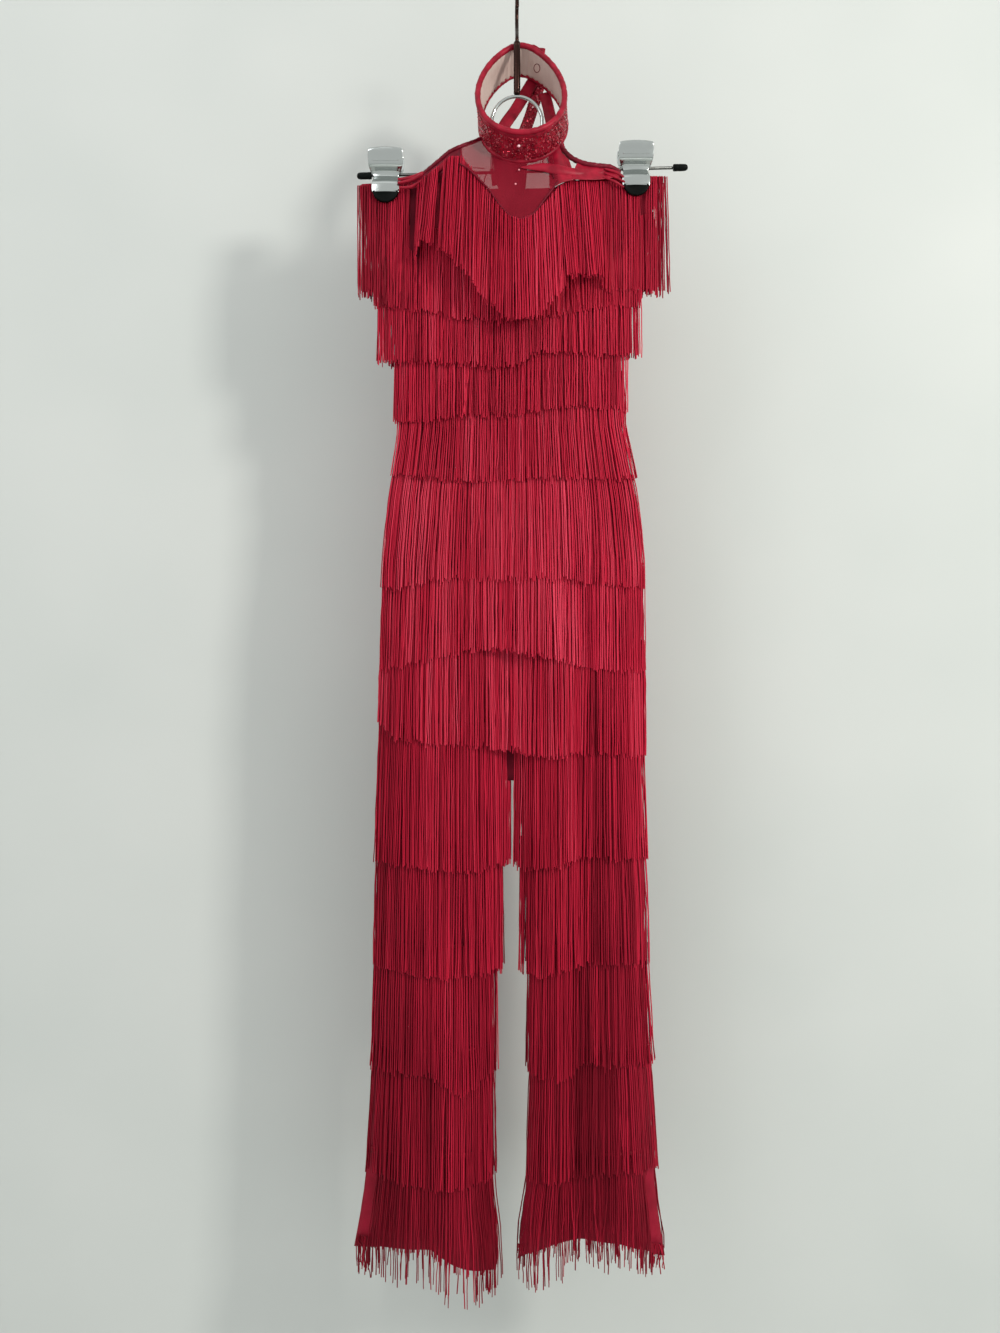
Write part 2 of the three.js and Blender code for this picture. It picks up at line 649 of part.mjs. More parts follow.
place(hangerGroup, "hanger_bar", rod(barPoint(bar.left), barPoint(bar.right), bar.radius, 12), chrome);
for (const [name, end, sign] of [["right", bar.left, -1], ["left", bar.right, 1]]) {
  const from = barPoint(end + sign * seamGap);
  const to = barPoint(end + sign * endCap.length);
  place(hangerGroup, `hanger_cap_${name}`, rod(from, to, endCap.radius, 16), rubber);
}

// Two straight legs stand on the bar and meet in a half circle.
function archSolid() {
  const middleZ = arch.apexZ - arch.halfWidth;
  const foot = (x) => new THREE.Vector3(x, 0, barZ(x) + bar.radius + 2 * seamGap);
  const bend = list(13, (i) => {
    const turn = (Math.PI * i) / 12;
    return new THREE.Vector3(-arch.halfWidth * Math.cos(turn), 0, middleZ + arch.halfWidth * Math.sin(turn));
  });
  const points = [foot(-arch.halfWidth), ...bend, foot(arch.halfWidth)];
  return roundTube(new THREE.CatmullRomCurve3(points, false, "centripetal"), arch.radius, 8, 26);
}
place(hangerGroup, "hanger_arch", archSolid(), chrome);

const neckFoot = arch.apexZ + arch.radius + seamGap;
const neckEnds = [neckFoot, neck.topZ].map((z) => new THREE.Vector3(0, 0, z));
place(hangerGroup, "hanger_neck", rod(...neckEnds, neck.radius, 16), chrome);

// The stem leaves the neck, bows to the back and turns over the rail to the front.
function hookSolid() {
  const r = hook.innerRadius + hook.radius;
  const middle = -hook.innerRadius;
  const over = list(9, (i) => {
    const turn = mix(hook.fromTurn, hook.toTurn, i / 8);
    return new THREE.Vector3(0, r * Math.cos(turn), middle + r * Math.sin(turn));
  });
  const stem = [
    new THREE.Vector3(0, 0, neck.topZ + 2 * seamGap),
    new THREE.Vector3(0, 0, neck.topZ + 5),
    new THREE.Vector3(0, 12, middle - 14),
  ];
  return roundTube(new THREE.CatmullRomCurve3([...stem, ...over], false, "centripetal"), hook.radius, 8, 30);
}
place(hangerGroup, "hanger_hook", hookSolid(), chrome);

function clipPlateSolid(x, side) {
  const shares = [-1, -0.5, 0, 0.5, 1];
  const grid = clipPlate.map(({ up, out, half }) =>
    shares.map((t) => new THREE.Vector3(x + t * half, side * (out + clip.bow * (1 - t * t)), barZ(x) + up)),
  );
  return sheetAlongY(grid, clip.thick);
}

function clipPadSolid(x, side) {
  const { radius, top, height, from, to } = clip.pad;
  const outline = new THREE.Shape();
  outline.moveTo(-radius, 0);
  outline.absellipse(0, 0, radius, height, Math.PI, 2 * Math.PI, false);
  outline.closePath();
  const extrusion = { depth: to - from, curveSegments: 10, bevelEnabled: false };
  const geometry = new THREE.ExtrudeGeometry(outline, extrusion);
  geometry.rotateX(Math.PI / 2);
  return geometry.translate(x, side < 0 ? -from : to, barZ(x) + top);
}

for (const { name, x } of clips)
  for (const [face, side] of [["front", -1], ["back", 1]]) {
    place(hangerGroup, `clip_${name}_${face}`, clipPlateSolid(x, side), chrome);
    place(hangerGroup, `clip_${name}_pad_${face}`, clipPadSolid(x, side), rubber);
  }

jumpsuit.add(hangerGroup);
export default jumpsuit;
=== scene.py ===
import math

import bmesh
import bpy
import numpy as np
from mathutils import Matrix, Vector
from mathutils.bvhtree import BVHTree


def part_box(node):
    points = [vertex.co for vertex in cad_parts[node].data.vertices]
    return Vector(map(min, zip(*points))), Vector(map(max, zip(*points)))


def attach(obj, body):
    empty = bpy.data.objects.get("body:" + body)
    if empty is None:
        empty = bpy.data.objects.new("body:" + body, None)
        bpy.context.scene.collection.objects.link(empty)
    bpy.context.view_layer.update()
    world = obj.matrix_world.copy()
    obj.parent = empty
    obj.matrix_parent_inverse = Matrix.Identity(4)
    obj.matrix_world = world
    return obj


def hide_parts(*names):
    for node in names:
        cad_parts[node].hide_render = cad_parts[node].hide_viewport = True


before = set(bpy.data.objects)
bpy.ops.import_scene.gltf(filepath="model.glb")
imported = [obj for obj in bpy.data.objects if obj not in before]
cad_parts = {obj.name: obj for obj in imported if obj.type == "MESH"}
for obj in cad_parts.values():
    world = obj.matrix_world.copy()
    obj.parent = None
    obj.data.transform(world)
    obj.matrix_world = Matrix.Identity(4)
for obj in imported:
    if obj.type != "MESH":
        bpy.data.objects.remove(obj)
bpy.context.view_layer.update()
mm = 0.001


# ---- helpers ----

def toLinear(hexColour):
    # sRGB hex to the linear colour that Blender's sockets hold
    channels = [int(hexColour[i:i + 2], 16) / 255 for i in (1, 3, 5)]
    return [c / 12.92 if c <= 0.04045 else ((c + 0.055) / 1.055) ** 2.4 for c in channels] + [1.0]


def addNode(tree, kind, links=None, values=None, **settings):
    # one node with its settings: links are sockets and values are constants, by the input's name or index
    node = tree.nodes.new(kind)
    for name, value in settings.items():
        setattr(node, name, value)
    for name, value in (values or {}).items():
        node.inputs[name].default_value = value
    for name, socket in (links or {}).items():
        tree.links.new(socket, node.inputs[name])
    return node


def setRamp(node, stops):
    ramp = node.color_ramp
    while len(ramp.elements) < len(stops):
        ramp.elements.new(0.5)
    for element, (place, colour) in zip(ramp.elements, stops):
        element.position = place
        element.color = toLinear(colour) if isinstance(colour, str) else (colour, colour, colour, 1)


def newMaterial(name):
    material = bpy.data.materials.new(name)
    material.use_nodes = True
    tree = material.node_tree
    return material, tree, tree.nodes["Principled BSDF"]


def meshObject(name, points, faces, material=None, smooth=True):
    mesh = bpy.data.meshes.new(name)
    mesh.from_pydata([tuple(p) for p in points], [], [tuple(int(i) for i in f) for f in faces])
    mesh.update()
    piece = bpy.data.objects.new(name, mesh)
    bpy.context.scene.collection.objects.link(piece)
    if smooth:
        mesh.shade_smooth()
    if material:
        mesh.materials.append(material)
    return piece


def bakeModifiers(piece):
    # the evaluated shape becomes the piece's own plain mesh
    graph = bpy.context.evaluated_depsgraph_get()
    baked = bpy.data.meshes.new_from_object(piece.evaluated_get(graph))
    piece.modifiers.clear()
    old = piece.data
    piece.data = baked
    bpy.data.meshes.remove(old)
    return piece


def turnOutwards(piece):
    # the faces of a closed mesh all point out
    mesh = bmesh.new()
    mesh.from_mesh(piece.data)
    bmesh.ops.recalc_face_normals(mesh, faces=mesh.faces)
    mesh.to_mesh(piece.data)
    mesh.free()
    return piece


def joinPieces(name, pieces):
    # several plain meshes as one, with their materials and attributes
    for piece in bpy.context.selected_objects:
        piece.select_set(False)
    for piece in pieces:
        piece.select_set(True)
    bpy.context.view_layer.objects.active = pieces[0]
    bpy.ops.object.join()
    pieces[0].name = name
    return pieces[0]


def finishPiece(piece, slotName, *nodes):
    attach(piece, "root")
    if nodes:
        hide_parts(*nodes)
    return piece


def tubeMesh(path, radius, sides=16, closedPath=False, flatten=None):
    # a round tube along points, with its ends capped; flatten scales its section along one axis
    path = np.asarray(path, float)
    count = len(path)
    if closedPath:
        ways = np.roll(path, -1, 0) - np.roll(path, 1, 0)
    else:
        ways = np.gradient(path, axis=0)
    ways /= np.linalg.norm(ways, axis=1)[:, None]
    side = np.cross(ways[0], (0, 0, 1) if abs(ways[0][2]) < 0.9 else (1, 0, 0))
    radii = np.broadcast_to(radius, count)
    rings = []
    for k in range(count):
        side = side - ways[k] * side.dot(ways[k])
        side /= np.linalg.norm(side)
        other = np.cross(ways[k], side)
        turns = np.linspace(0, 2 * math.pi, sides, endpoint=False)
        ring = np.outer(np.cos(turns), side) + np.outer(np.sin(turns), other)
        rings.append(path[k] + ring * radii[k] * (flatten if flatten is not None else 1))
    points = np.concatenate(rings)
    faces = []
    for k in range(count if closedPath else count - 1):
        a, b = k * sides, (k + 1) % count * sides
        for j in range(sides):
            n = (j + 1) % sides
            faces.append((a + j, a + n, b + n, b + j))
    if not closedPath:
        faces.append(tuple(range(sides - 1, -1, -1)))
        faces.append(tuple((count - 1) * sides + j for j in range(sides)))
    return points, faces


# welding distance in millimetres, then angles in degrees
clothCopy = {"weld": 0.02, "quadAngle": 35, "quadShape": 60, "crease": 50, "levels": 2}


def smoothCopy(name, node, material):
    # a finer copy of a CAD piece: triangles back to quads, sharp rims creased, then subdivided
    mesh = bmesh.new()
    mesh.from_mesh(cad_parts[node].data)
    bmesh.ops.remove_doubles(mesh, verts=mesh.verts, dist=clothCopy["weld"] * mm)
    bmesh.ops.join_triangles(
        mesh, faces=mesh.faces, angle_face_threshold=math.radians(clothCopy["quadAngle"]),
        angle_shape_threshold=math.radians(clothCopy["quadShape"]))
    creases = mesh.edges.layers.float.new("crease_edge")
    for edge in mesh.edges:
        if len(edge.link_faces) == 2 and edge.calc_face_angle(0) > math.radians(clothCopy["crease"]):
            edge[creases] = 1
    data = bpy.data.meshes.new(name)
    mesh.to_mesh(data)
    mesh.free()
    data.shade_smooth()
    data.materials.append(material)
    piece = bpy.data.objects.new(name, data)
    bpy.context.scene.collection.objects.link(piece)
    modifier = piece.modifiers.new("Subdivision", "SUBSURF")
    modifier.levels = modifier.render_levels = clothCopy["levels"]
    return bakeModifiers(piece)


def treeOf(*names):
    # the CAD pieces' triangles, ready for rays to be cast at them
    corners = []
    for name in names:
        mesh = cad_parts[name].data
        mesh.calc_loop_triangles()
        points = np.zeros(len(mesh.vertices) * 3)
        mesh.vertices.foreach_get("co", points)
        index = np.zeros(len(mesh.loop_triangles) * 3, int)
        mesh.loop_triangles.foreach_get("vertices", index)
        corners.append(points.reshape(-1, 3)[index])
    corners = np.concatenate(corners)
    faces = np.arange(len(corners)).reshape(-1, 3).tolist()
    return BVHTree.FromPolygons([Vector(p) for p in corners], faces)


def frontOf(tree, x, z):
    # the depth at which a ray from the front meets a surface, for x and z in millimetres
    hit = tree.ray_cast(Vector((x * mm, -0.3, z * mm)), Vector((0, 1, 0)))[0]
    return hit.y if hit else -0.02


# ---- materials ----

def fringeRayon(name, hexes, roughness):
    # Viscose chainette, looped from filament yarn: silky, with a soft streak of light down each strand
    # and strands that differ a little in tone at random; their colour also carries painted shading by
    # place, from the strandHueAndShade attribute.
    material, tree, shader = newMaterial(name)
    hueAndShade = addNode(tree, "ShaderNodeAttribute", attribute_name="strandHueAndShade")
    place = addNode(tree, "ShaderNodeTexCoord")
    scaled = addNode(tree, "ShaderNodeMapping", {"Vector": place.outputs["Object"]}, {"Scale": (1, 1, 0.35)})
    # soft patches of shade some 40 mm across, and loops drawn 3 mm long, twice their real size,
    # so that they show
    patches = addNode(
        tree, "ShaderNodeTexNoise", {"Vector": scaled.outputs[0]}, {"Scale": 26.0, "Detail": 2.0})
    loops = addNode(
        tree, "ShaderNodeTexNoise", {"Vector": place.outputs["Object"]}, {"Scale": 330.0, "Detail": 1.0})
    shade = addNode(
        tree, "ShaderNodeMath", {0: patches.outputs["Fac"], 2: hueAndShade.outputs["Fac"]}, {1: 0.35},
        operation="MULTIPLY_ADD")
    ramp = addNode(tree, "ShaderNodeValToRGB", {"Fac": shade.outputs[0]})
    setRamp(ramp, list(zip((0.05, 0.45, 1.0), hexes)))
    bump = addNode(
        tree, "ShaderNodeBump", {"Height": loops.outputs["Fac"]}, {"Strength": 0.5, "Distance": 0.5 * mm})
    tree.links.new(ramp.outputs["Color"], shader.inputs["Base Color"])
    tree.links.new(bump.outputs["Normal"], shader.inputs["Normal"])
    shader.inputs["Roughness"].default_value = roughness
    shader.inputs["Specular IOR Level"].default_value = 0.12
    return material


def mottledMaterial(name, noise, stops, sockets, target="Base Color"):
    # a finish that drifts between the ramp's stops, and the shader's fixed values
    material, tree, shader = newMaterial(name)
    place = addNode(tree, "ShaderNodeTexCoord")
    mottle = addNode(tree, "ShaderNodeTexNoise", {"Vector": place.outputs["Object"]}, noise)
    ramp = addNode(tree, "ShaderNodeValToRGB", {"Fac": mottle.outputs["Fac"]})
    setRamp(ramp, stops)
    tree.links.new(ramp.outputs["Color"], shader.inputs[target])
    for socket, value in sockets.items():
        shader.inputs[socket].default_value = value
    return material, tree, shader, place.outputs["Object"], mottle.outputs["Fac"]


def knitCloth(name, dark, light, threadScale, alpha=1.0, sheen=0.0, roughness=0.55):
    # Warp-knit polyamide and elastane: matt with a soft bloom at grazing angles and a fine even grain.
    material, tree, shader, place, _ = mottledMaterial(
        name, {"Scale": 35.0, "Detail": 3.0}, [(0.3, dark), (0.7, light)],
        {"Roughness": roughness, "Specular IOR Level": 0.1, "Sheen Weight": sheen, "Sheen Roughness": 0.4,
         "Sheen Tint": toLinear(light), "Alpha": alpha})
    grain = addNode(tree, "ShaderNodeTexVoronoi", {"Vector": place}, {"Scale": threadScale}, feature="F1")
    bump = addNode(
        tree, "ShaderNodeBump", {"Height": grain.outputs["Distance"]},
        {"Strength": 0.25, "Distance": 0.3 * mm})
    tree.links.new(bump.outputs["Normal"], shader.inputs["Normal"])
    return material


def satinTrim(name, dark, light):
    # Polyester satin cut on the bias: long floats that give a bright band of light and a dark one beside it.
    material, tree, shader, place, _ = mottledMaterial(
        name, {"Scale": 90.0, "Detail": 2.0}, [(0.35, dark), (0.65, light)],
        {"Roughness": 0.4, "Specular IOR Level": 0.16, "Anisotropic": 0.4})
    stretched = addNode(tree, "ShaderNodeMapping", {"Vector": place}, {"Scale": (1, 1, 0.25)})
    floats = addNode(tree, "ShaderNodeTexNoise", {"Vector": stretched.outputs[0]}, {"Scale": 700.0})
    bump = addNode(
        tree, "ShaderNodeBump", {"Height": floats.outputs["Fac"]}, {"Strength": 0.3, "Distance": 0.2 * mm})
    tree.links.new(bump.outputs["Normal"], shader.inputs["Normal"])
    return material


def cutGlass(name, dark, colour, roughness):
    # Foiled glass beads: dark from most sides, with a hard spark where a facet meets the light.
    return mottledMaterial(name, {"Scale": 400.0}, [(0.36, dark), (0.6, colour)], {
        "Metallic": 0.55, "Roughness": roughness, "Coat Weight": 1.0, "Coat Roughness": 0.04})[0]


def platedSteel(name, colour, roughness):
    # Nickel and chrome plate on steel: a mirror with a faint polishing haze.
    return mottledMaterial(
        name, {"Scale": 160.0, "Detail": 4.0}, [(0.35, roughness), (0.75, roughness + 0.12)],
        {"Base Color": toLinear(colour), "Metallic": 1.0}, "Roughness")[0]


def mouldedRubber(name, dark, light):
    # Moulded black rubber: matt, with a faint grey bloom and a fine grain from the mould.
    material, tree, shader, _, bloom = mottledMaterial(
        name, {"Scale": 120.0, "Detail": 3.0}, [(0.3, dark), (0.8, light)],
        {"Roughness": 0.45, "Specular IOR Level": 0.08})
    bump = addNode(tree, "ShaderNodeBump", {"Height": bloom}, {"Strength": 0.2, "Distance": 0.2 * mm})
    tree.links.new(bump.outputs["Normal"], shader.inputs["Normal"])
    return material


rayon = fringeRayon("viscose chainette, dark red", ("#7c0b20", "#c01d3a", "#f0566f"), 0.5)
powerMesh = knitCloth("lined power mesh, dark red", "#7c0e22", "#981730", 1400.0, sheen=0.05)
sheerMesh = knitCloth("sheer stretch mesh, red", "#7e1023", "#8c182b", 1600.0, alpha=0.6)
skinMesh = knitCloth("sheer stretch mesh, skin", "#c8aea6", "#dac4bb", 1500.0, alpha=0.88, sheen=0.1)
satin = satinTrim("polyester satin, dark red", "#7e0d22", "#9c172e")
deepSatin = satinTrim("polyester satin, wine", "#580918", "#701024")
# painted shade: a near-black red for the slot and fork sheets, where there is only shade; also the dark
# thread loop's own colour
threadAndPaintedShade = knitCloth("black red thread and painted shade", "#3a0610", "#560a1a", 1400.0, roughness=0.95)
beadGlass = cutGlass("foiled glass beads, dark red", "#6a0b1b", "#cc1f3b", 0.16)
# the stones' pale rose is partly their own colour and partly a painted highlight, so that they read as bright
# glints
glintCrystal = cutGlass("foiled crystal, rose, with painted glint", "#e88f9c", "#fbdde1", 0.3)
chrome = platedSteel("chrome-plated steel", "#b5bab8", 0.1)
nickel = platedSteel("dull nickel plate", "#5c5d5b", 0.3)
# the neck and hook: steel painted dark red-brown, a painted reflection of the red garment and the dim room
reflectionPaintedSteel = platedSteel("steel, painted red-brown reflection", "#33231f", 0.22)
rubber = mouldedRubber("moulded rubber, black", "#030605", "#080d0b")
print("materials made")

# ---- cloth ----

# the flat area of each cut panel in square metres, where it is known to be less than its rectangle
clothPanels = {"bodice_front": None, "bodice_back": None, "right_leg_front": 0.155, "right_leg_back": 0.155,
               "left_leg_front": 0.155, "left_leg_back": 0.155}

# the cloth's lower edge across both legs in millimetres, and how far its outer corners flare
hemLine = [(-193, -1496), (-175, -1491), (-155, -1486), (-102, -1486), (-78, -1504), (-51, -1516),
           (-26, -1523), (-8, -1518), (-2, -1512), (15, -1500), (42, -1486), (76, -1475), (121, -1481),
           (150, -1494), (167, -1506)]
hemFlare = 5


def hemAt(x):
    return np.interp(x / mm, *zip(*hemLine)) * mm


def hemCreases(piece, node):
    # the panel's lower edge drawn to its line, with small soft dents in the flare above it
    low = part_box(node)[0]
    rng = np.random.default_rng(len(node))
    points = np.array([vertex.co for vertex in piece.data.vertices])
    places = np.linspace(points[:, 0].min(), points[:, 0].max(), 24)
    edge = [points[np.abs(points[:, 0] - x) < 9 * mm, 2].min() for x in places]
    hemNow = np.interp(points[:, 0], places, edge)
    share = np.clip(1 - (points[:, 2] - hemNow) / 0.1, 0, 1) ** 2
    points[:, 2] += (hemAt(points[:, 0]) - hemNow) * share
    outwards = np.sign(points[:, 0]) * np.clip((np.abs(points[:, 0]) - 0.1) / 0.07, 0, 1)
    points[:, 0] += hemFlare * mm * share * outwards
    piece.data.vertices.foreach_set("co", points.ravel())
    dents = [(rng.uniform(-0.19, 0.17), low[2] + rng.uniform(0.01, 0.16), rng.uniform(6, 16) * mm,
              rng.uniform(25, 60) * mm, rng.uniform(-1.6, 1.6) * mm) for _ in range(14)]
    for vertex in piece.data.vertices:
        x, y, z = vertex.co
        if z > low[2] + 0.26:
            continue
        vertex.co.y = y + sum(deep * math.exp(-((x - cx) / wide) ** 2 - ((z - cz) / tall) ** 2)
                              for cx, cz, wide, tall, deep in dents)


for node, area in clothPanels.items():
    panel = smoothCopy(f"cloth_{node}", node, powerMesh)
    if "leg" in node:
        hemCreases(panel, node)
    finishPiece(panel, "stretch_mesh", node)
print("cloth made")

# ---- fringe ----

# Each tier in millimetres: the heading tape's height at the left, middle and right, the line of the ends
# across the front as x and z, and the ends' height across the back.
bodyTiers = {
    "fringe_top": {
        "head": None, "back": (-352, -350, -344),
        "lean": [(-121, 0.0), (-110, 0.2), (52, 0.2), (92, 0.16), (98, 0.02)],
        "front": [(-187, -357), (-173, -360), (-166, -355), (-124, -361), (-121, -330), (-115, -318),
                  (-104, -301), (-91, -310), (-72, -324), (-50, -357), (-25, -384), (-11, -402), (5, -402),
                  (25, -390), (46, -366), (50, -349), (66, -346), (90, -344), (97, -354), (147, -352),
                  (166, -359), (173, -350)]},
    "fringe_bust_upper": {
        "head": (-258, -290, -255), "back": (-346, -397, -346),
        "front": [(-173, -348), (-170, -371), (-115, -379), (-67, -391), (-9, -396), (39, -391), (73, -380),
                  (109, -373), (146, -370), (150, -349)]},
    "fringe_bust_lower": {
        "head": (-322, -366, -318), "back": (-432, -448, -424),
        "front": [(-167, -436), (-96, -442), (-42, -448), (-5, -450), (24, -433), (85, -431), (131, -431),
                  (146, -424)]},
    "fringe_ribs": {
        "head": (-385, -418, -380), "back": (-503, -505, -491),
        "front": [(-143, -511), (-62, -506), (7, -503), (51, -494), (124, -493)]},
    "fringe_waist": {
        "head": (-449, -470, -445), "back": (-577, -580, -573),
        "front": [(-142, -570), (-118, -575), (-72, -583), (-5, -582), (31, -579), (116, -578), (131, -574)]},
    "fringe_hip_upper": {
        "head": (-568, -564, -570), "back": (-700, -693, -706),
        "front": [(-159, -705), (-129, -709), (-91, -698), (17, -698), (86, -703), (150, -709)]},
    "fringe_hip_lower": {
        "head": (-674, -660, -676), "back": (-804, -786, -806),
        "front": [(-163, -807), (-59, -783), (-27, -779), (40, -790), (85, -802), (148, -807)]},
    "fringe_seat": {
        "head": (-766, -758, -768), "back": (-888, -898, -903),
        "front": [(-165, -859), (-140, -886), (-50, -894), (-12, -898), (40, -906), (96, -901), (148, -906)]},
}
legTiers = {
    "thigh": {"head": -866, "back": -1033, "front": {
        "right": [(-168, -1030), (-84, -1037), (-45, -1041), (-12, -1037)],
        "left": [(4, -1037), (40, -1039), (74, -1025), (153, -1028)]}},
    "knee": {"head": -1003, "back": -1158, "front": {
        "right": [(-171, -1156), (-84, -1163), (-30, -1162)],
        "left": [(8, -1162), (47, -1163), (84, -1148), (156, -1153)]}},
    "calf": {"head": -1128, "back": -1281, "front": {
        "right": [(-175, -1275), (-99, -1279), (-69, -1300), (-23, -1279)],
        "left": [(10, -1281), (60, -1289), (80, -1266), (158, -1271)]}},
    "shin": {"head": -1251, "back": -1403, "front": {
        "right": [(-178, -1395), (-82, -1412), (-26, -1404)],
        "left": [(8, -1405), (42, -1410), (113, -1391), (166, -1397)]}},
    "hem": {"head": -1373, "back": -1524, "front": {
        "right": [(-190, -1511), (-151, -1516), (-105, -1516), (-93, -1531), (-76, -1537), (-60, -1540),
                  (-39, -1537), (-26, -1527)],
        "left": [(-5, -1521), (38, -1527), (55, -1516), (68, -1495), (89, -1495), (131, -1505),
                 (168, -1509)]}},
}
# Settings of one strand and of how strands lie together, in millimetres; a clump hangs as one
# innerPaintedShade darkens the inner layer of strands, under the outer one, as painted shade between them
strand = {"pitch": 2.2, "radius": 0.8, "points": 9, "sides": 3, "layers": (0.0, 1.5), "sizes": (0.8, 1.15),
          "thickness": 1, "tapeOff": 0.7, "tapeHeight": 8, "tapeThick": 0.9, "rootGap": 0.5, "ease": 2.0,
          "lean": 0.02, "jitter": 0.55, "ragged": 1.9, "clump": 4, "clumpShift": 0.9, "clumpEnds": 1.2,
          "gather": 0.1, "strayShare": 0.02, "stray": 4.5, "proud": 0.25, "wave": 0.25, "tone": 0.07,
          "clumpTone": 0.05, "innerPaintedShade": -0.19}
# the hem's strands hang looser, and about half of them don't reach past the cloth's edge
hemStrand = {**strand, "ragged": 4.18, "clumpShift": 1.62, "clumpEnds": 3.6, "gather": 0.2, "thickness": 0.9,
             "curl": 2.2, "start": 12, "cutShare": 0.5, "cutAbove": (2, 2)}
topSpread = 5.5  # how much farther the top tier stands out at the sides
slots = [(-126, -117), (-91.5, -85.5), (146, 149)]  # gaps where the top tier hangs open
hemBare = {"right": [(-200, -163)], "left": [(-12, 20), (148, 190)]}  # corners with fringe along the hem only
# the upper edge of the front, x and z
neckline = [(-192, -222), (-165, -220), (-138, -221), (-112, -218), (-94, -206), (-79, -194), (-66, -195),
            (-56, -208), (-41, -228), (-33, -241), (-26, -250), (-12, -266), (2, -272), (17, -265.5),
            (29, -250), (42, -230), (52, -224), (75, -221), (103, -218), (130, -210), (154, -210),
            (166, -213), (172, -219), (180, -230)]
# Long folds in the front's fringe: at each height the places across, with the lift and the painted shading
# at each place, lighter on slopes that face the lamp and darker on those turned away. The crest on the right
# leg drifts inwards towards the hem.
folds = {
    "right": {"heights": [-600, -1210, -1330, -1430], "lifts": [0, 4, 12, 2, 0],
              "paintedShading": [-0.04, -0.06, 0.07, 0.0, -0.02],
              "across": [(-172, -150, -92, -62, -40), (-175, -155, -84, -56, -38),
                         (-178, -150, -66, -44, -30), (-182, -150, -58, -36, -24)]},
    "left": {"heights": [-600, -1480], "lifts": [0, 9, 1, 0, 9, 3],
             "paintedShading": [-0.04, 0.03, 0.1, -0.08, -0.05, 0.04],
             "across": [(-12, 22, 64, 73, 130, 158), (-8, 26, 62, 74, 136, 168)]},
}
# painted shading of the strands, by height and by place across: the hips painted lighter and the hems darker
# for how the lamps fall off down the garment, and the upper tiers darker towards their sides, most on the
# left
paintedShading = {"heights": [(-200, 0.24), (-480, 0.25), (-600, 0.38), (-780, 0.36), (-900, 0.25), (-1150, 0.13),
                     (-1500, -0.05)],
         "across": [(-170, -0.2), (-125, -0.12), (-100, 0), (40, 0.06), (90, -0.07), (160, -0.1)]}
# places across the cloth, closer together at its edges
shares = (1 - np.cos(np.linspace(0, math.pi, 61))) / 2


def wallMap(names, side, heights):
    # the cloth's edges and how far it stands from the middle plane, by rays cast at the panels
    tree = treeOf(*names)
    low, high, stand = [], [], []
    for z in heights:
        edges = []
        for way in (1, -1):
            hit = tree.ray_cast(Vector((-way * 0.5, side * 1.4 * mm, z)), Vector((way, 0, 0)))[0]
            edges.append(hit.x if hit else math.nan)
        low.append(edges[0])
        high.append(edges[1])
        row = []
        for share in shares:
            x = edges[0] + (edges[1] - edges[0]) * share
            ray = Vector((x, side * 0.3, z)), Vector((0, -side, 0))
            hit = None if math.isnan(x) else tree.ray_cast(*ray)[0]
            row.append(side * hit.y if hit and side * hit.y > 0 else math.nan)
        row[0] = row[-1] = 0.6 * mm
        row = np.array(row)
        known = ~np.isnan(row)
        stand.append(np.interp(shares, shares[known], row[known]))
    low, high = np.array(low), np.array(high)
    known = ~np.isnan(low)
    low, high = (np.interp(-heights, -heights[known], edge[known]) for edge in (low, high))
    return {"heights": heights, "low": low, "high": high, "stand": np.array(stand)}


def edgesAt(wall, z):
    return (np.interp(-z, -wall["heights"], wall["low"]), np.interp(-z, -wall["heights"], wall["high"]))


def standAt(wall, x, z):
    # bilinear in height and in the share of the way across; nothing stands beyond the edges
    low, high = edgesAt(wall, z)
    share = (x - low) / (high - low)
    step = (wall["heights"][0] - wall["heights"][-1]) / (len(wall["heights"]) - 1)
    row = np.clip((wall["heights"][0] - z) / step, 0, len(wall["heights"]) - 1.001)
    columns = len(shares) - 1
    column = np.clip(np.arccos(np.clip(1 - 2 * share, -1, 1)) / math.pi * columns, 0, columns - 0.001)
    i, j = row.astype(int), column.astype(int)
    a, b = row - i, column - j
    stand = wall["stand"]
    value = ((stand[i, j] * (1 - b) + stand[i, j + 1] * b) * (1 - a)
             + (stand[i + 1, j] * (1 - b) + stand[i + 1, j + 1] * b) * a)
    return np.where((share < 0) | (share > 1), 0.0, value)


def foldAt(x, z, key):
    # what the folds give at a place, their "lifts" or their painted shading ("paintedShading"), fading in
    # below the waist
    given = 0
    for fold in folds.values():
        down = np.interp(-z / mm, -np.array(fold["heights"]), range(len(fold["heights"])))
        low = np.minimum(down.astype(int), len(fold["heights"]) - 2)
        across = np.array(fold["across"], float)
        knots = across[low] + (across[low + 1] - across[low]) * (down - low)[:, None]
        given = given + np.array([np.interp(at, row, fold[key], 0, 0) for at, row in zip(x / mm, knots)])
    return given * np.clip((-0.58 - z) / 0.2, 0, 1)


def paintedShadeAt(x, z):
    # painted shading of a strand at a place: lighter and darker by height and across, for how the lamps fall
    heights, across = np.array(paintedShading["heights"]), np.array(paintedShading["across"])
    upper = np.clip((z + 0.42) / 0.1, 0, 1)
    return (np.interp(-z / mm, -heights[:, 0], heights[:, 1])
            + upper * np.interp(x / mm, across[:, 0], across[:, 1]))


def acrossLine(ends, x, low, high):
    # a height that curves from the left over the middle to the right
    t = 2 * (x - low) / (high - low) - 1
    left, middle, right = (v * mm for v in ends)
    return middle + (np.where(t < 0, left, right) - middle) * t * t


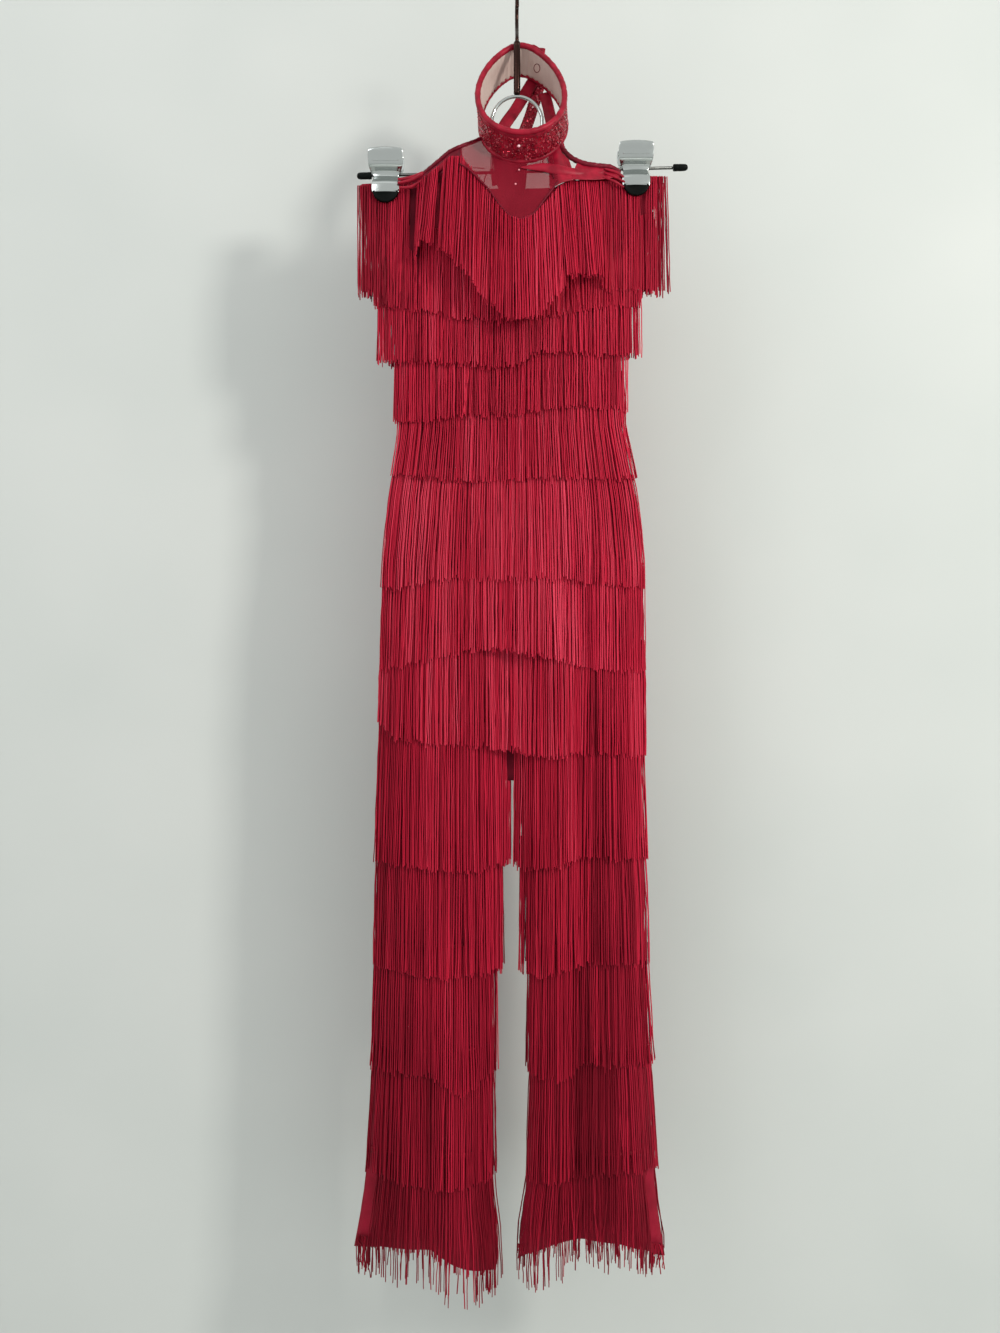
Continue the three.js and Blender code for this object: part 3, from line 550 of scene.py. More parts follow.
def rootsAlong(wall, headAt, spacing):
    # places at an even spacing along the cloth's outline at the tape, with the outline's normal
    low, high = edgesAt(wall, np.array([headAt(np.array([0.0]), None, None)[0]]))
    fine = (1 - np.cos(np.linspace(0, math.pi, 801))) / 2
    x = low[0] + (high[0] - low[0]) * fine
    z = headAt(x, low[0], high[0])
    low, high = edgesAt(wall, z)
    x = low + (high - low) * fine
    stand = standAt(wall, x, z)
    along = np.concatenate([[0], np.cumsum(np.hypot(np.diff(x), np.diff(stand)))])
    count = int(along[-1] / spacing)
    places = (np.arange(count) + 0.5) * along[-1] / count
    slope = np.gradient(stand) / np.maximum(np.gradient(x), 1e-7)
    x, z, stand, slope = (np.interp(places, along, v) for v in (x, z, stand, slope))
    length = np.hypot(slope, 1)
    # the normals turn gradually round the edges, so that the strands there fan out evenly
    nx = np.convolve(np.pad(-slope / length, 3, "edge"), np.full(7, 1 / 7), "valid")
    return x, z, stand, nx, np.sqrt(1 - nx**2)


def spreadAt(x, low, high, spread):
    # how far a place is drawn outwards, most at the cloth's two edges
    t = 2 * (x - low) / (high - low) - 1
    return np.sign(t) * t**4 * spread * mm


def strandsOf(walls, headAt, endAt, rng, lean=None, hem=False, gaps=(), spread=0):
    # the strands of one tier as lines: they hang straight from the tape, and the cloth below pushes them out
    look = hemStrand if hem else strand
    pitch = look["pitch"] * mm
    rootOff = look["tapeOff"] + look["tapeThick"] + look["rootGap"]
    lines, huesAndShades, sizes = [], [], []
    for side, wall in walls.items():
        front = side < 0
        for layer, off in enumerate(look["layers"]):
            x0, head, stand0, nx, ny = rootsAlong(wall, lambda x, *edges: headAt(side, x, *edges), pitch)
            x0 = x0 + rng.normal(0, look["jitter"] * mm, len(x0)) + layer * pitch / 2
            count = len(x0)
            low, high = edgesAt(wall, head)
            end = endAt(side, x0, low, high) + rng.normal(0, look["ragged"] * mm, count)
            clump = np.arange(count) // look["clump"]
            clumps = clump.max() + 1
            shift = rng.normal(0, look["clumpShift"] * mm, clumps)[clump]
            end += rng.normal(0, look["clumpEnds"] * mm, clumps)[clump]
            toClump = (clump + 0.5) * look["clump"] - np.arange(count) - 0.5
            gather = toClump * pitch * look["gather"] + shift
            strays = rng.random(count) < look["strayShare"]
            stray = np.where(strays, rng.normal(0, look["stray"] * mm, count), 0)
            proud = rng.normal(0, look["proud"], count)
            curl = rng.normal(0, look["curl"] * mm, count) if hem else 0
            start = head - 0.5 * mm
            keep = np.ones(count, bool)
            for a, b in gaps if front else ():
                keep &= (x0 < a * mm) | (x0 > b * mm)
            if hem:
                start, keep = np.where(keep, start, hemAt(x0) + look["start"] * mm), np.ones(count, bool)
                short = rng.random(count) < look["cutShare"]
                edge = hemAt(x0) + rng.normal(*look["cutAbove"], count) * mm
                end = np.where(short, np.maximum(end, edge), end)
            t0 = 2 * (x0 - low) / (high - low) - 1
            wide = spreadAt(x0, low, high, spread)
            away = np.interp(x0 / mm, *zip(*lean)) if lean and front else look["lean"]
            reach, farLow, farHigh = stand0, low, high
            path = []
            for s in np.linspace(0, 1, look["points"]):
                z = start + (end - start) * s
                lowNow, highNow = edgesAt(wall, z)
                farLow, farHigh = np.minimum(farLow, lowNow), np.maximum(farHigh, highNow)
                grow = np.where(t0 < 0, farLow - low, farHigh - high) * np.abs(t0) ** 1.5
                x = x0 + grow + (gather + stray) * s * s + curl * s**4 * math.sin(9 * s)
                x = x + rng.normal(0, look["wave"] * mm, count) * (s > 0)
                reach = np.maximum(reach, standAt(wall, np.clip(x, lowNow, highNow), z))
                eased = look["ease"] * math.sin(min(s * 1.6, 1) * math.pi / 2)
                out = (rootOff + proud * (s > 0) + off + eased) * mm + away * (head - z) * ny
                lift = foldAt(x, z, "lifts") * mm if front else 0
                path.append(np.stack([x + wide + nx * out, side * (reach + ny * out + lift), z], 1))
            path = np.stack(path, 1)[keep]
            middle = (head + end) / 2
            # a strand's colour: painted shading by place, a random tone of its own and of its clump, and
            # painted shade on the inner layer
            hueAndShade = paintedShadeAt(x0, middle) + rng.normal(0, look["tone"], count) + look["innerPaintedShade"] * (layer == 0)
            hueAndShade += rng.normal(0, look["clumpTone"], clumps)[clump]
            # at the front, painted light and shade on the folds' slopes
            if front:
                hueAndShade += foldAt(x0, middle, "paintedShading")
            size = rng.uniform(*look["sizes"], count) * look["thickness"]
            lines.append(path)
            huesAndShades.append(hueAndShade[keep])
            sizes.append(size[keep])
    return np.concatenate(lines), np.concatenate(huesAndShades), np.concatenate(sizes)


def newTree(name, **inputs):
    # a node tree with a mesh coming in and one going out, and inputs by their names
    tree = bpy.data.node_groups.new(name, "GeometryNodeTree")
    for label, kind in {"Geometry": "Geometry", **inputs}.items():
        tree.interface.new_socket(label, in_out="INPUT", socket_type="NodeSocket" + kind)
    tree.interface.new_socket("Geometry", in_out="OUTPUT", socket_type="NodeSocketGeometry")
    return tree, addNode(tree, "NodeGroupInput")


def endTree(tree, geometry, material):
    real = addNode(tree, "GeometryNodeRealizeInstances", {"Geometry": geometry})
    coloured = addNode(
        tree, "GeometryNodeSetMaterial", {"Geometry": real.outputs["Geometry"], "Material": material})
    addNode(tree, "NodeGroupOutput", {"Geometry": coloured.outputs["Geometry"]})
    return tree


def strandTree():
    # turns lines into thin tubes: thickness from each line's strandSize, colour from its strandHueAndShade,
    # a random tone with painted shading
    tree, start = newTree("fringeStrands", **{
        "Strand Radius": "Float", "Strand Sides": "Int", "Strand Material": "Material"})
    lines = addNode(tree, "GeometryNodeMeshToCurve", {"Mesh": start.outputs["Geometry"]})
    size = addNode(tree, "GeometryNodeInputNamedAttribute", values={"Name": "strandSize"}, data_type="FLOAT")
    radius = addNode(
        tree, "ShaderNodeMath", {0: size.outputs["Attribute"], 1: start.outputs["Strand Radius"]},
        operation="MULTIPLY")
    profile = addNode(
        tree, "GeometryNodeCurvePrimitiveCircle", {"Resolution": start.outputs["Strand Sides"]},
        {"Radius": 1.0})
    tubes = addNode(
        tree, "GeometryNodeCurveToMesh",
        {"Curve": lines.outputs["Curve"], "Profile Curve": profile.outputs["Curve"],
         "Scale": radius.outputs[0]},
        {"Fill Caps": True})
    return endTree(tree, tubes.outputs["Mesh"], start.outputs["Strand Material"])


def applyTree(piece, tree, values):
    # gives the tree's inputs by socket identifier, then makes its result the piece's plain mesh
    modifier = piece.modifiers.new(tree.name, "NODES")
    modifier.node_group = tree
    for item in tree.interface.items_tree:
        if item.in_out == "INPUT" and item.name in values:
            modifier[item.identifier] = values[item.name]
    return bakeModifiers(piece)


def strandObject(name, lines, huesAndShades, sizes, material):
    count, points = lines.shape[:2]
    mesh = bpy.data.meshes.new(name)
    index = np.arange(count * points).reshape(count, points)
    edges = np.stack([index[:, :-1].ravel(), index[:, 1:].ravel()], 1)
    mesh.vertices.add(count * points)
    mesh.vertices.foreach_set("co", lines.ravel())
    mesh.edges.add(len(edges))
    mesh.edges.foreach_set("vertices", edges.ravel())
    mesh.attributes.new("strandHueAndShade", "FLOAT", "POINT").data.foreach_set("value", np.repeat(huesAndShades, points))
    mesh.attributes.new("strandSize", "FLOAT", "POINT").data.foreach_set("value", np.repeat(sizes, points))
    mesh.update()
    piece = bpy.data.objects.new(name, mesh)
    bpy.context.scene.collection.objects.link(piece)
    applyTree(piece, fringeTree, {
        "Strand Radius": strand["radius"] * mm, "Strand Sides": strand["sides"], "Strand Material": material})
    piece.data.shade_smooth()
    return piece


def tapeObject(name, walls, headAt, material, spread):
    # the woven heading that the strands hang from, a thin closed band round the cloth
    ring = []
    for side in (-1, 1):
        x, z, stand, nx, ny = rootsAlong(walls[side], lambda x, *edges: headAt(side, x, *edges), 5 * mm)
        rows = np.stack([x + spreadAt(x, x[0], x[-1], spread), side * stand, z, nx, side * ny], 1)
        ring.append(rows if side < 0 else rows[::-1])
    ring = np.concatenate(ring)
    count = len(ring)
    points = []
    for off, down in ((0.0, 0), (strand["tapeThick"], 0), (strand["tapeThick"], 1), (0.0, 1)):
        away = (strand["tapeOff"] + off) * mm
        band = ring[:, :3] + np.stack([ring[:, 3], ring[:, 4], np.zeros(count)], 1) * away
        band[:, 2] -= down * strand["tapeHeight"] * mm
        points.append(band)
    faces = []
    for k in range(count):
        n = (k + 1) % count
        for a in range(4):
            b = (a + 1) % 4
            faces.append((a * count + k, b * count + k, b * count + n, a * count + n))
    return meshObject(name, np.concatenate(points), faces, material)


def makeTier(node, walls, headAt, endAt, seed, spread=0, **settings):
    rng = np.random.default_rng(seed)
    lines, huesAndShades, sizes = strandsOf(walls, headAt, endAt, rng, spread=spread, **settings)
    strands = strandObject(node + "_strands", lines, huesAndShades, sizes, rayon)
    tape = tapeObject(node + "_tape", walls, headAt, rayon, spread)
    finishPiece(joinPieces(node + "_strands", [strands, tape]), "rayon_fringe", node)
    return len(lines)


fringeTree = strandTree()
bodyHeights = np.linspace(-0.224, -0.93, 119)
legHeights = np.linspace(-0.86, -1.478, 104)
everyPanel = list(clothPanels)
bodyWalls = {side: wallMap(everyPanel, side, bodyHeights) for side in (-1, 1)}
strandCount = 0
for seed, (node, tier) in enumerate(bodyTiers.items()):
    def headAt(side, x, low, high, tier=tier):
        if tier["head"]:
            return acrossLine(tier["head"], x, *((low, high) if low is not None else (-0.17, 0.16)))
        line = np.array(neckline if side < 0 else [(-192, -222), (0, -220), (180, -214)])
        return np.interp(x, line[:, 0] * mm, line[:, 1] * mm) - 3 * mm

    def endAt(side, x, low, high, tier=tier):
        if side > 0:
            return acrossLine(tier["back"], x, low, high)
        line = np.array(tier["front"]) * mm
        return np.interp(x, line[:, 0], line[:, 1])

    strandCount += makeTier(
        node, bodyWalls, headAt, endAt, seed, spread=0 if tier["head"] else topSpread, lean=tier.get("lean"),
        gaps=() if tier["head"] else slots)
for name in ("right", "left"):
    walls = {side: wallMap([f"{name}_leg_{end}"], side, legHeights)
             for side, end in ((-1, "front"), (1, "back"))}
    for seed, (place, tier) in enumerate(legTiers.items()):
        def headAt(side, x, low, high, tier=tier):
            return np.full_like(x, tier["head"] * mm)

        def endAt(side, x, low, high, tier=tier, name=name):
            if side > 0:
                return np.full_like(x, tier["back"] * mm)
            line = np.array(tier["front"][name]) * mm
            return np.interp(x, line[:, 0], line[:, 1])

        strandCount += makeTier(
            f"fringe_{name}_{place}", walls, headAt, endAt, 20 + seed + 10 * (name == "left"),
            hem=place == "hem", gaps=hemBare[name] if place == "hem" else ())
print(f"fringe made, {strandCount} strands")

# ---- collar, yoke, straps and bindings ----

collar = {"frontRim": (-52, -183), "backRim": (8.6, -53), "x": 4.5, "half": 52, "pinch": 0.14,
          "fall": (32, -20),
          "taper": (0.95, 1.07), "thick": 1.2, "lining": 1.6, "rimRadius": 3.4, "seamRadius": 2.9, "peak": 4}


def collarPoint(turn, down, inwards=0.0):
    # a place on the collar: turn 0 is the middle of the front, down is 0 at the rim and 1 at the lower seam
    turn, down, inwards = np.broadcast_arrays(*(np.asarray(v, float) for v in (turn, down, inwards)))
    front, back = np.array(collar["frontRim"]), np.array(collar["backRim"])
    middle, reach = (front + back) / 2, (front - back) / 2
    forward, kept = np.cos(turn), 1 - inwards / collar["half"]
    taper = np.interp(np.sin(turn), (-1, 1), collar["taper"])
    half = (collar["half"] - inwards) * (1 + (taper - 1) * down)
    peak = collar["peak"] * np.exp(-((np.abs(turn) - math.pi) / 0.5) ** 2)
    return mm * np.stack([
        collar["x"] + half * np.sin(turn) * (1 + collar["pinch"] * forward),
        middle[0] + reach[0] * forward * kept + collar["fall"][0] * down,
        middle[1] + reach[1] * forward * kept + collar["fall"][1] * down + peak], -1)


def gridFaces(rows, columns, ring=False):
    wide = columns if ring else columns - 1
    return [(i * columns + j, (i + 1) * columns + j, (i + 1) * columns + (j + 1) % columns,
             i * columns + (j + 1) % columns) for i in range(rows - 1) for j in range(wide)]


def solidSheet(name, grid, thick, material, ring=False):
    # a grid of points as a sheet with thickness and soft edges
    rows, columns = grid.shape[:2]
    piece = meshObject(name, grid.reshape(-1, 3), gridFaces(rows, columns, ring), material)
    modifier = piece.modifiers.new("Solidify", "SOLIDIFY")
    modifier.thickness = thick
    modifier.offset = 0
    return turnOutwards(bakeModifiers(piece))


def smoothPath(points, count):
    # an even smooth curve through a few points
    points = np.asarray(points, float)
    ways = np.gradient(points, axis=0)
    fine = []
    for k in range(len(points) - 1):
        t = np.linspace(0, 1, 24, endpoint=k == len(points) - 2)[:, None]
        fine.append((2 * t**3 - 3 * t**2 + 1) * points[k] + (t**3 - 2 * t**2 + t) * ways[k]
                    + (3 * t**2 - 2 * t**3) * points[k + 1] + (t**3 - t**2) * ways[k + 1])
    fine = np.concatenate(fine)
    along = np.concatenate([[0], np.cumsum(np.linalg.norm(np.diff(fine[:, :3], axis=0), axis=1))])
    places = np.linspace(0, along[-1], count)
    return np.stack([np.interp(places, along, fine[:, c]) for c in range(fine.shape[1])], 1)


def scatterTree():
    # sequins and seed beads strewn over a surface, each a little tilted
    tree, start = newTree("sewnBeads", **{
        "Bead Gap": "Float", "Bead Size": "Float", "Bead Material": "Material"})
    points = addNode(
        tree, "GeometryNodeDistributePointsOnFaces",
        {"Mesh": start.outputs["Geometry"], "Distance Min": start.outputs["Bead Gap"]},
        {"Density Max": 9e5, "Seed": 7}, distribute_method="POISSON")
    sequin = addNode(
        tree, "GeometryNodeMeshCylinder", values={"Vertices": 7, "Radius": 1.0, "Depth": 0.3})
    bead = addNode(tree, "GeometryNodeMeshIcoSphere", values={"Radius": 0.6, "Subdivisions": 1})
    one = addNode(tree, "GeometryNodeGeometryToInstance", {"Geometry": sequin.outputs["Mesh"]})
    two = addNode(tree, "GeometryNodeGeometryToInstance", {"Geometry": bead.outputs["Mesh"]})
    kinds = addNode(tree, "GeometryNodeJoinGeometry", {"Geometry": one.outputs["Instances"]})
    tree.links.new(two.outputs["Instances"], kinds.inputs["Geometry"])
    which = addNode(tree, "FunctionNodeRandomValue", values={"Seed": 3}, data_type="INT")
    which.inputs[4].default_value, which.inputs[5].default_value = 0, 1
    tilt = addNode(tree, "FunctionNodeRandomValue", values={"Seed": 4}, data_type="FLOAT_VECTOR")
    tilt.inputs[0].default_value, tilt.inputs[1].default_value = (-0.5, -0.5, -3.1), (0.5, 0.5, 3.1)
    turned = addNode(
        tree, "FunctionNodeRotateRotation",
        {"Rotation": points.outputs["Rotation"], "Rotate By": tilt.outputs[0]}, rotation_space="LOCAL")
    grade = addNode(tree, "FunctionNodeRandomValue", values={"Seed": 5}, data_type="FLOAT")
    grade.inputs[2].default_value, grade.inputs[3].default_value = 0.6, 1.15
    size = addNode(
        tree, "ShaderNodeMath", {0: grade.outputs[1], 1: start.outputs["Bead Size"]}, operation="MULTIPLY")
    strewn = addNode(
        tree, "GeometryNodeInstanceOnPoints",
        {"Points": points.outputs["Points"], "Instance": kinds.outputs["Geometry"],
         "Instance Index": which.outputs[2], "Rotation": turned.outputs[0], "Scale": size.outputs[0]},
        {"Pick Instance": True})
    return endTree(tree, strewn.outputs["Instances"], start.outputs["Bead Material"])


def beadsOver(name, grid, gap, size, ring=False):
    rows, columns = grid.shape[:2]
    piece = meshObject(name, grid.reshape(-1, 3), gridFaces(rows, columns, ring), smooth=False)
    applyTree(piece, beadTree, {"Bead Gap": gap * mm, "Bead Size": size * mm, "Bead Material": beadGlass})
    return piece


beadTree = scatterTree()
turns = np.linspace(-math.pi, math.pi, 128, endpoint=False)
downs = np.linspace(0.06, 0.95, 14)[:, None]
wobble = 0.35 * np.sin(9 * turns + 2 * downs) + 0.25 * np.sin(17 * turns - 3 * downs)
band = solidSheet(
    "collar_band_cloth", collarPoint(turns, downs, 0.6 + wobble), collar["thick"] * mm, satin, True)
beadDowns = np.linspace(0.16, 0.9, 10)[:, None]
beads = beadsOver("collar_band_beads", collarPoint(turns, beadDowns, -0.5)[:, ::-1], 1.9, 1.3, True)
finishPiece(band, "satin_trim", "collar_band")
finishPiece(beads, "satin_trim")

# the lining is gathered, so it stands in small soft pleats
pleats = 1.0 * np.sin(46 * turns + 3 * np.sin(3 * turns)) * (0.5 + 0.5 * np.sin(2 * turns + 1) ** 2)
lining = solidSheet(
    "collar_lining_cloth", collarPoint(turns, downs, collar["thick"] + collar["lining"] + pleats), 0.4 * mm,
    skinMesh, True)
finishPiece(lining, "skin_mesh", "collar_lining")

for edge, down, radius in (("top", 0.0, collar["rimRadius"]), ("lower", 1.0, collar["seamRadius"])):
    rolled = radius * (1 + 0.07 * np.sin(31 * turns) * np.sin(5 * turns) + 0.04 * np.sin(67 * turns)) * mm
    ring = meshObject(
        f"collar_binding_{edge}_roll",
        *tubeMesh(collarPoint(turns, down, 1.2), rolled, 14, closedPath=True), satin)
    finishPiece(ring, "satin_trim", f"collar_binding_{edge}")

# a folded tab of binding stands at the closure, with a thread loop beside it
tabSpan = {"from": 16, "to": 33, "foot": -57, "top": -50}
tabGrid = []
for share in np.linspace(0, 1, 8):
    row = []
    for x in np.linspace(tabSpan["from"], tabSpan["to"], 12):
        along = x - tabSpan["from"]
        foot = tabSpan["foot"] - 0.036 * along**2
        top = tabSpan["top"] - 0.5 * along
        row.append((x + 1.2 * share, 7 - 0.3 * along + 1.3 * math.sin(x * 0.55), foot + (top - foot) * share))
    tabGrid.append(row)
tab = solidSheet("collar_tab_fold", np.array(tabGrid) * mm, 1.8 * mm, satin)
loopTurns = np.linspace(0, 2 * math.pi, 24, endpoint=False)
loop = np.stack([24 + 3.6 * np.cos(loopTurns), 4 + 0 * loopTurns, -80 + 5.2 * np.sin(loopTurns)], 1) * mm
threadLoop = meshObject("collar_thread_loop", *tubeMesh(loop, 0.45 * mm, 8, closedPath=True), threadAndPaintedShade)
finishPiece(joinPieces("collar_tab_fold", [tab, threadLoop]), "satin_trim", "collar_tab")
print("collar made")

# The yoke's upper edge follows the armhole binding and the collar's seam, its lower edge the V of the bodice,
# as x, y, z.
yoke = {"top": [(-67, -16.5, -183.5), (-54, -14, -177), (-40, -5, -169), (-33, -9, -178), (-20, -15, -191.5),
                (-4, -19, -200.5), (12, -19, -200.5), (24, -16, -194), (33, -13, -188), (40, -10, -182)],
        "foot": [(-68, -30, -210), (-58, -31, -216), (-46, -31.5, -228), (-34, -32, -240), (-20, -32.5, -260),
                 (-6, -32.5, -273.5), (6, -32.5, -275), (19, -32, -269), (33, -31.5, -251), (48, -31, -231)]}
top, foot = (smoothPath(np.array(yoke[key]) * mm, 64) for key in ("top", "foot"))
down = np.linspace(0, 1, 24)[:, None, None]
yokeGrid = top + (foot - top) * down
share = down[:, :, 0]
puckers = (0.5 * np.sin(np.linspace(0, 42, 64)) * (1 - share) ** 2
           + 0.4 * np.sin(np.linspace(2, 19, 64) + 5 * share))
yokeGrid[:, :, 1] += (puckers - 1.5 * np.sin(share * math.pi)) * mm
yokeSheet = solidSheet("yoke_sheet", yokeGrid, 0.4 * mm, sheerMesh)
finishPiece(yokeSheet, "sheer_mesh", "yoke_front")
yokeTree = BVHTree.FromPolygons(
    [v.co.copy() for v in yokeSheet.data.vertices], [tuple(f.vertices) for f in yokeSheet.data.polygons])


def onYoke(x, z, off):
    # a point in front of the yoke, or behind it where off is positive
    return (x * mm, frontOf(yokeTree, x, z) + off * mm, z * mm)


# a second layer behind the yoke's middle: its left and its right edge, each as x and z
yokeBacking = [(-31, -181, 10, -196), (-28, -206, 11.6, -206), (-23, -234, 9.5, -236), (-12, -254, 3.5, -256)]
backingGrid = []
for leftX, leftZ, rightX, rightZ in smoothPath(np.array(yokeBacking), 16):
    row = []
    for part in np.linspace(0, 1, 12):
        behind = 2.6 + 0.8 * math.sin(9 * part + leftZ * 0.05)
        row.append(onYoke(leftX + (rightX - leftX) * part, leftZ + (rightZ - leftZ) * part, behind))
    backingGrid.append(row)
backing = solidSheet("yoke_backing", np.array(backingGrid), 0.5 * mm, deepSatin)
finishPiece(backing, "satin_trim")

seamLines = [[(x * mm, (y - 0.6) * mm, (z + 0.6) * mm) for x, y, z in yoke["foot"]],
             [onYoke(x, z, 4.5) for x, z in ((-53, -211), (-46, -210.5), (-39, -210))],
             [onYoke(x, z, 4.5) for x, z in ((-36.4, -217), (-38.5, -225), (-41, -233))],
             [onYoke(x, z, -0.9) for x, z in ((36, -197), (38, -206), (41, -216), (43, -226))]]
seams = [meshObject("seam", *tubeMesh(smoothPath(line, 60), (0.95, 0.55, 0.6, 0.7)[k] * mm, 8), deepSatin)
         for k, line in enumerate(seamLines)]
finishPiece(joinPieces("yoke_seams", seams), "satin_trim")

# Cloth folded up from the neckline to a binding or strap: its upper and its lower edge as x, y, z
gussets = {
    "armhole_gusset": {
        "top": [(-124, -9, -219), (-107, -10, -209), (-92, -15, -199), (-80, -17, -190), (-66, -16.5, -183)],
        "foot": [(-124, -12, -226), (-107, -15, -226), (-92, -18, -225), (-80, -20, -220), (-64, -24, -211)],
        "flat": (0.062, 0.032), "area": 0.0013, "folds": 15},
    "halter_gusset": {
        "top": [(37, -10, -181), (43, -9, -178), (49, -8, -176)],
        "foot": [(38, -31, -240), (52, -31, -232), (66, -29, -228)],
        "flat": (0.024, 0.055), "area": 0.0011, "folds": 7},
    "shoulder_gusset": {
        "top": [(72, -13, -199), (88, -12, -204), (104, -10, -206), (122, -8, -211)],
        "foot": [(62, -27, -226), (80, -25, -226), (100, -19, -223), (122, -12, -217)],
        "flat": (0.062, 0.026), "area": 0.0011, "folds": 11},
}
for name, cut in gussets.items():
    top, foot = (smoothPath(np.array(cut[key]) * mm, 40) for key in ("top", "foot"))
    down = np.linspace(0, 1, 14)[:, None, None]
    gussetGrid = top + (foot - top) * down
    ripples = np.sin(np.linspace(0, cut["folds"], 40) + 2 * down[:, :, 0]) * np.sin(down[:, :, 0] * math.pi)
    gussetGrid[:, :, 1] += 1.2 * mm * ripples
    gussetCloth = solidSheet(name, gussetGrid, 0.8 * mm, deepSatin if name == "armhole_gusset" else satin)
    finishPiece(gussetCloth, "satin_trim")

bindings = {  # radius, then the path
    "armhole_binding_right": (2.3, [
        (-39.3, -3, -166), (-52, -11, -175), (-66, -16.5, -182.5), (-80, -17.5, -189.5), (-92, -15.5, -198.5),
        (-106, -10.5, -208), (-116, -8, -215)]),
    "armhole_binding_left": (3.1, [
        (48, -3, -168), (53.7, -9, -181.9), (64.7, -12, -194.6), (79.3, -13.5, -201.8), (95.7, -11.5, -203.8),
        (112, -9, -204.8), (123, -8, -211.5)]),
}
for name, (radius, points) in bindings.items():
    path = smoothPath(np.array(points) * mm, 90)
    lumps = 1 + 0.09 * np.sin(np.arange(90) * 0.9) * np.sin(np.arange(90) * 0.23)
    roll = meshObject(name + "_roll", *tubeMesh(path, radius * mm * lumps, 14), deepSatin)
    finishPiece(roll, "satin_trim", name)

# cloth pinched into small folds beside each clip: its places, the last number being the fold's radius
gathers = [
    [(-142, -11, -220, 1.8), (-126, -12, -218, 2.3), (-112, -10, -211.5, 2.0)],
    [(-142, -13, -225, 1.5), (-126, -17, -223, 2.0), (-112, -19, -217, 1.5)],
    [(-140, -15, -231, 1.3), (-127, -19, -232, 1.7), (-114, -22, -226, 1.0)],
    [(104, -13, -208, 1.2), (118, -12, -212, 2.0), (127, -10, -217, 1.6)],
    [(104, -15, -214, 1.2), (118, -14, -219, 1.8), (128, -11, -223, 1.3)],
    [(102, -18, -220, 1.0), (116, -17, -225, 1.5), (127, -13, -230, 1.0)],
]
# painted shade in the two front slots: dark sheets where there is only shade behind the top tier;
# upper left, upper right, lower right and lower left corner as x and z
paintedShadeSlots = [[(-127, -222), (-116.5, -222), (-117, -318), (-121, -305)],
          [(-92, -217), (-85, -215), (-85, -300), (-92, -296)]]
bodiceTree = treeOf("bodice_front")
dark = []
for k, corners in enumerate(paintedShadeSlots):
    (leftX, topLeft), (rightX, topRight), (_, footRight), (_, footLeft) = corners
    rows = []
    for share in np.linspace(0, 1, 24):
        row = []
        for x, head, foot in ((leftX, topLeft, footLeft), (rightX, topRight, footRight)):
            z = head + (foot - head) * share
            forward = (1 + 6 * np.clip((-235 - z) / 25, 0, 1)) * mm
            row.append((x * mm, frontOf(bodiceTree, x, z) - forward, z * mm))
        rows.append(row)
    dark.append(solidSheet(f"slot_painted_shade_{k}", np.array(rows), 0.5 * mm, threadAndPaintedShade))
# painted shade down the middle seam to the fork: a dark sheet inside, where the slit between the legs shows
# only shade
fork = {"across": (-16, 3), "heights": (-600, -936), "y": -9}
forkGrid = [[(x, fork["y"] + 0.02 * (x + 6) ** 2, z) for x in np.linspace(*fork["across"], 8)]
            for z in np.linspace(*fork["heights"], 40)]
dark.append(solidSheet("fork_painted_shade", np.array(forkGrid) * mm, 0.6 * mm, threadAndPaintedShade))
finishPiece(joinPieces("painted_shade_sheets", dark), "stretch_mesh")
pinched = []
for k, points in enumerate(gathers):
    path = smoothPath(np.array(points) * mm, 30)
    pinched.append(meshObject(f"gather_{k}", *tubeMesh(path[:, :3], path[:, 3], 10), satin))
finishPiece(joinPieces("clip_gathers", pinched), "satin_trim")

# the halter strap, a flattened roll of satin: place and half width
halter = [(4, -23, -210.5, 0.8), (16, -24.5, -211, 3.0), (30, -25.5, -211.5, 5.0), (46, -26.5, -214.5, 6.2),
          (60, -24.5, -216.5, 5.6), (78, -19.5, -216, 5.0), (96, -13.5, -213, 4.2), (105, -10, -207, 3.0)]
halterPath = smoothPath(np.array(halter) * mm, 80)
halterRoll = meshObject("halter_strap_roll", *tubeMesh(
    halterPath[:, :3], halterPath[:, 3], 18, flatten=np.array([1, 0.36, 1])), satin)
finishPiece(halterRoll, "satin_trim", "halter_strap_left")

backStraps = {
    "back_strap_right": [(-23, 16, -216), (-25, 18, -184), (-19, 21, -149), (0, 29, -116), (21, 41.5, -76)],
    "back_strap_middle": [(-16, 17.2, -217), (6, 24, -156), (18, 34, -120), (29, 44, -77)],
    "back_strap_left": [(66, 13.2, -216.7), (46, 22, -150), (38, 31, -112), (34, 35.2, -95)],
}
strapSize = {"half": 7, "thick": 1.2, "columns": 9, "rows": 60, "cup": 1.0}


def strapGrid(points, off=0.0):
    # a ribbon along a curve, with its edges curled a little to the back
    path = smoothPath(np.array(points) * mm, strapSize["rows"])
    ways = np.gradient(path, axis=0)
    out = np.stack([-ways[:, 2], 0 * ways[:, 0], ways[:, 0]], 1)
    out /= np.linalg.norm(out, axis=1)[:, None]
    shareAcross = np.linspace(1, -1, strapSize["columns"])
    grid = path[:, None] + out[:, None] * shareAcross[None, :, None] * strapSize["half"] * mm
    ripple = 0.5 * np.sin(np.arange(strapSize["rows"]) * 0.35)[:, None]
    grid[:, :, 1] += (strapSize["cup"] * shareAcross**2 + ripple * shareAcross + off) * mm
    return grid


for name, points in backStraps.items():
    ribbon = solidSheet(name + "_ribbon", strapGrid(points), strapSize["thick"] * mm, satin)
    finishPiece(ribbon, "satin_trim", name)
strapBeads = beadsOver(
    "back_strap_middle_beads", strapGrid(backStraps["back_strap_middle"], -1.2)[:, ::-1], 2.0, 1.3)
finishPiece(strapBeads, "satin_trim")

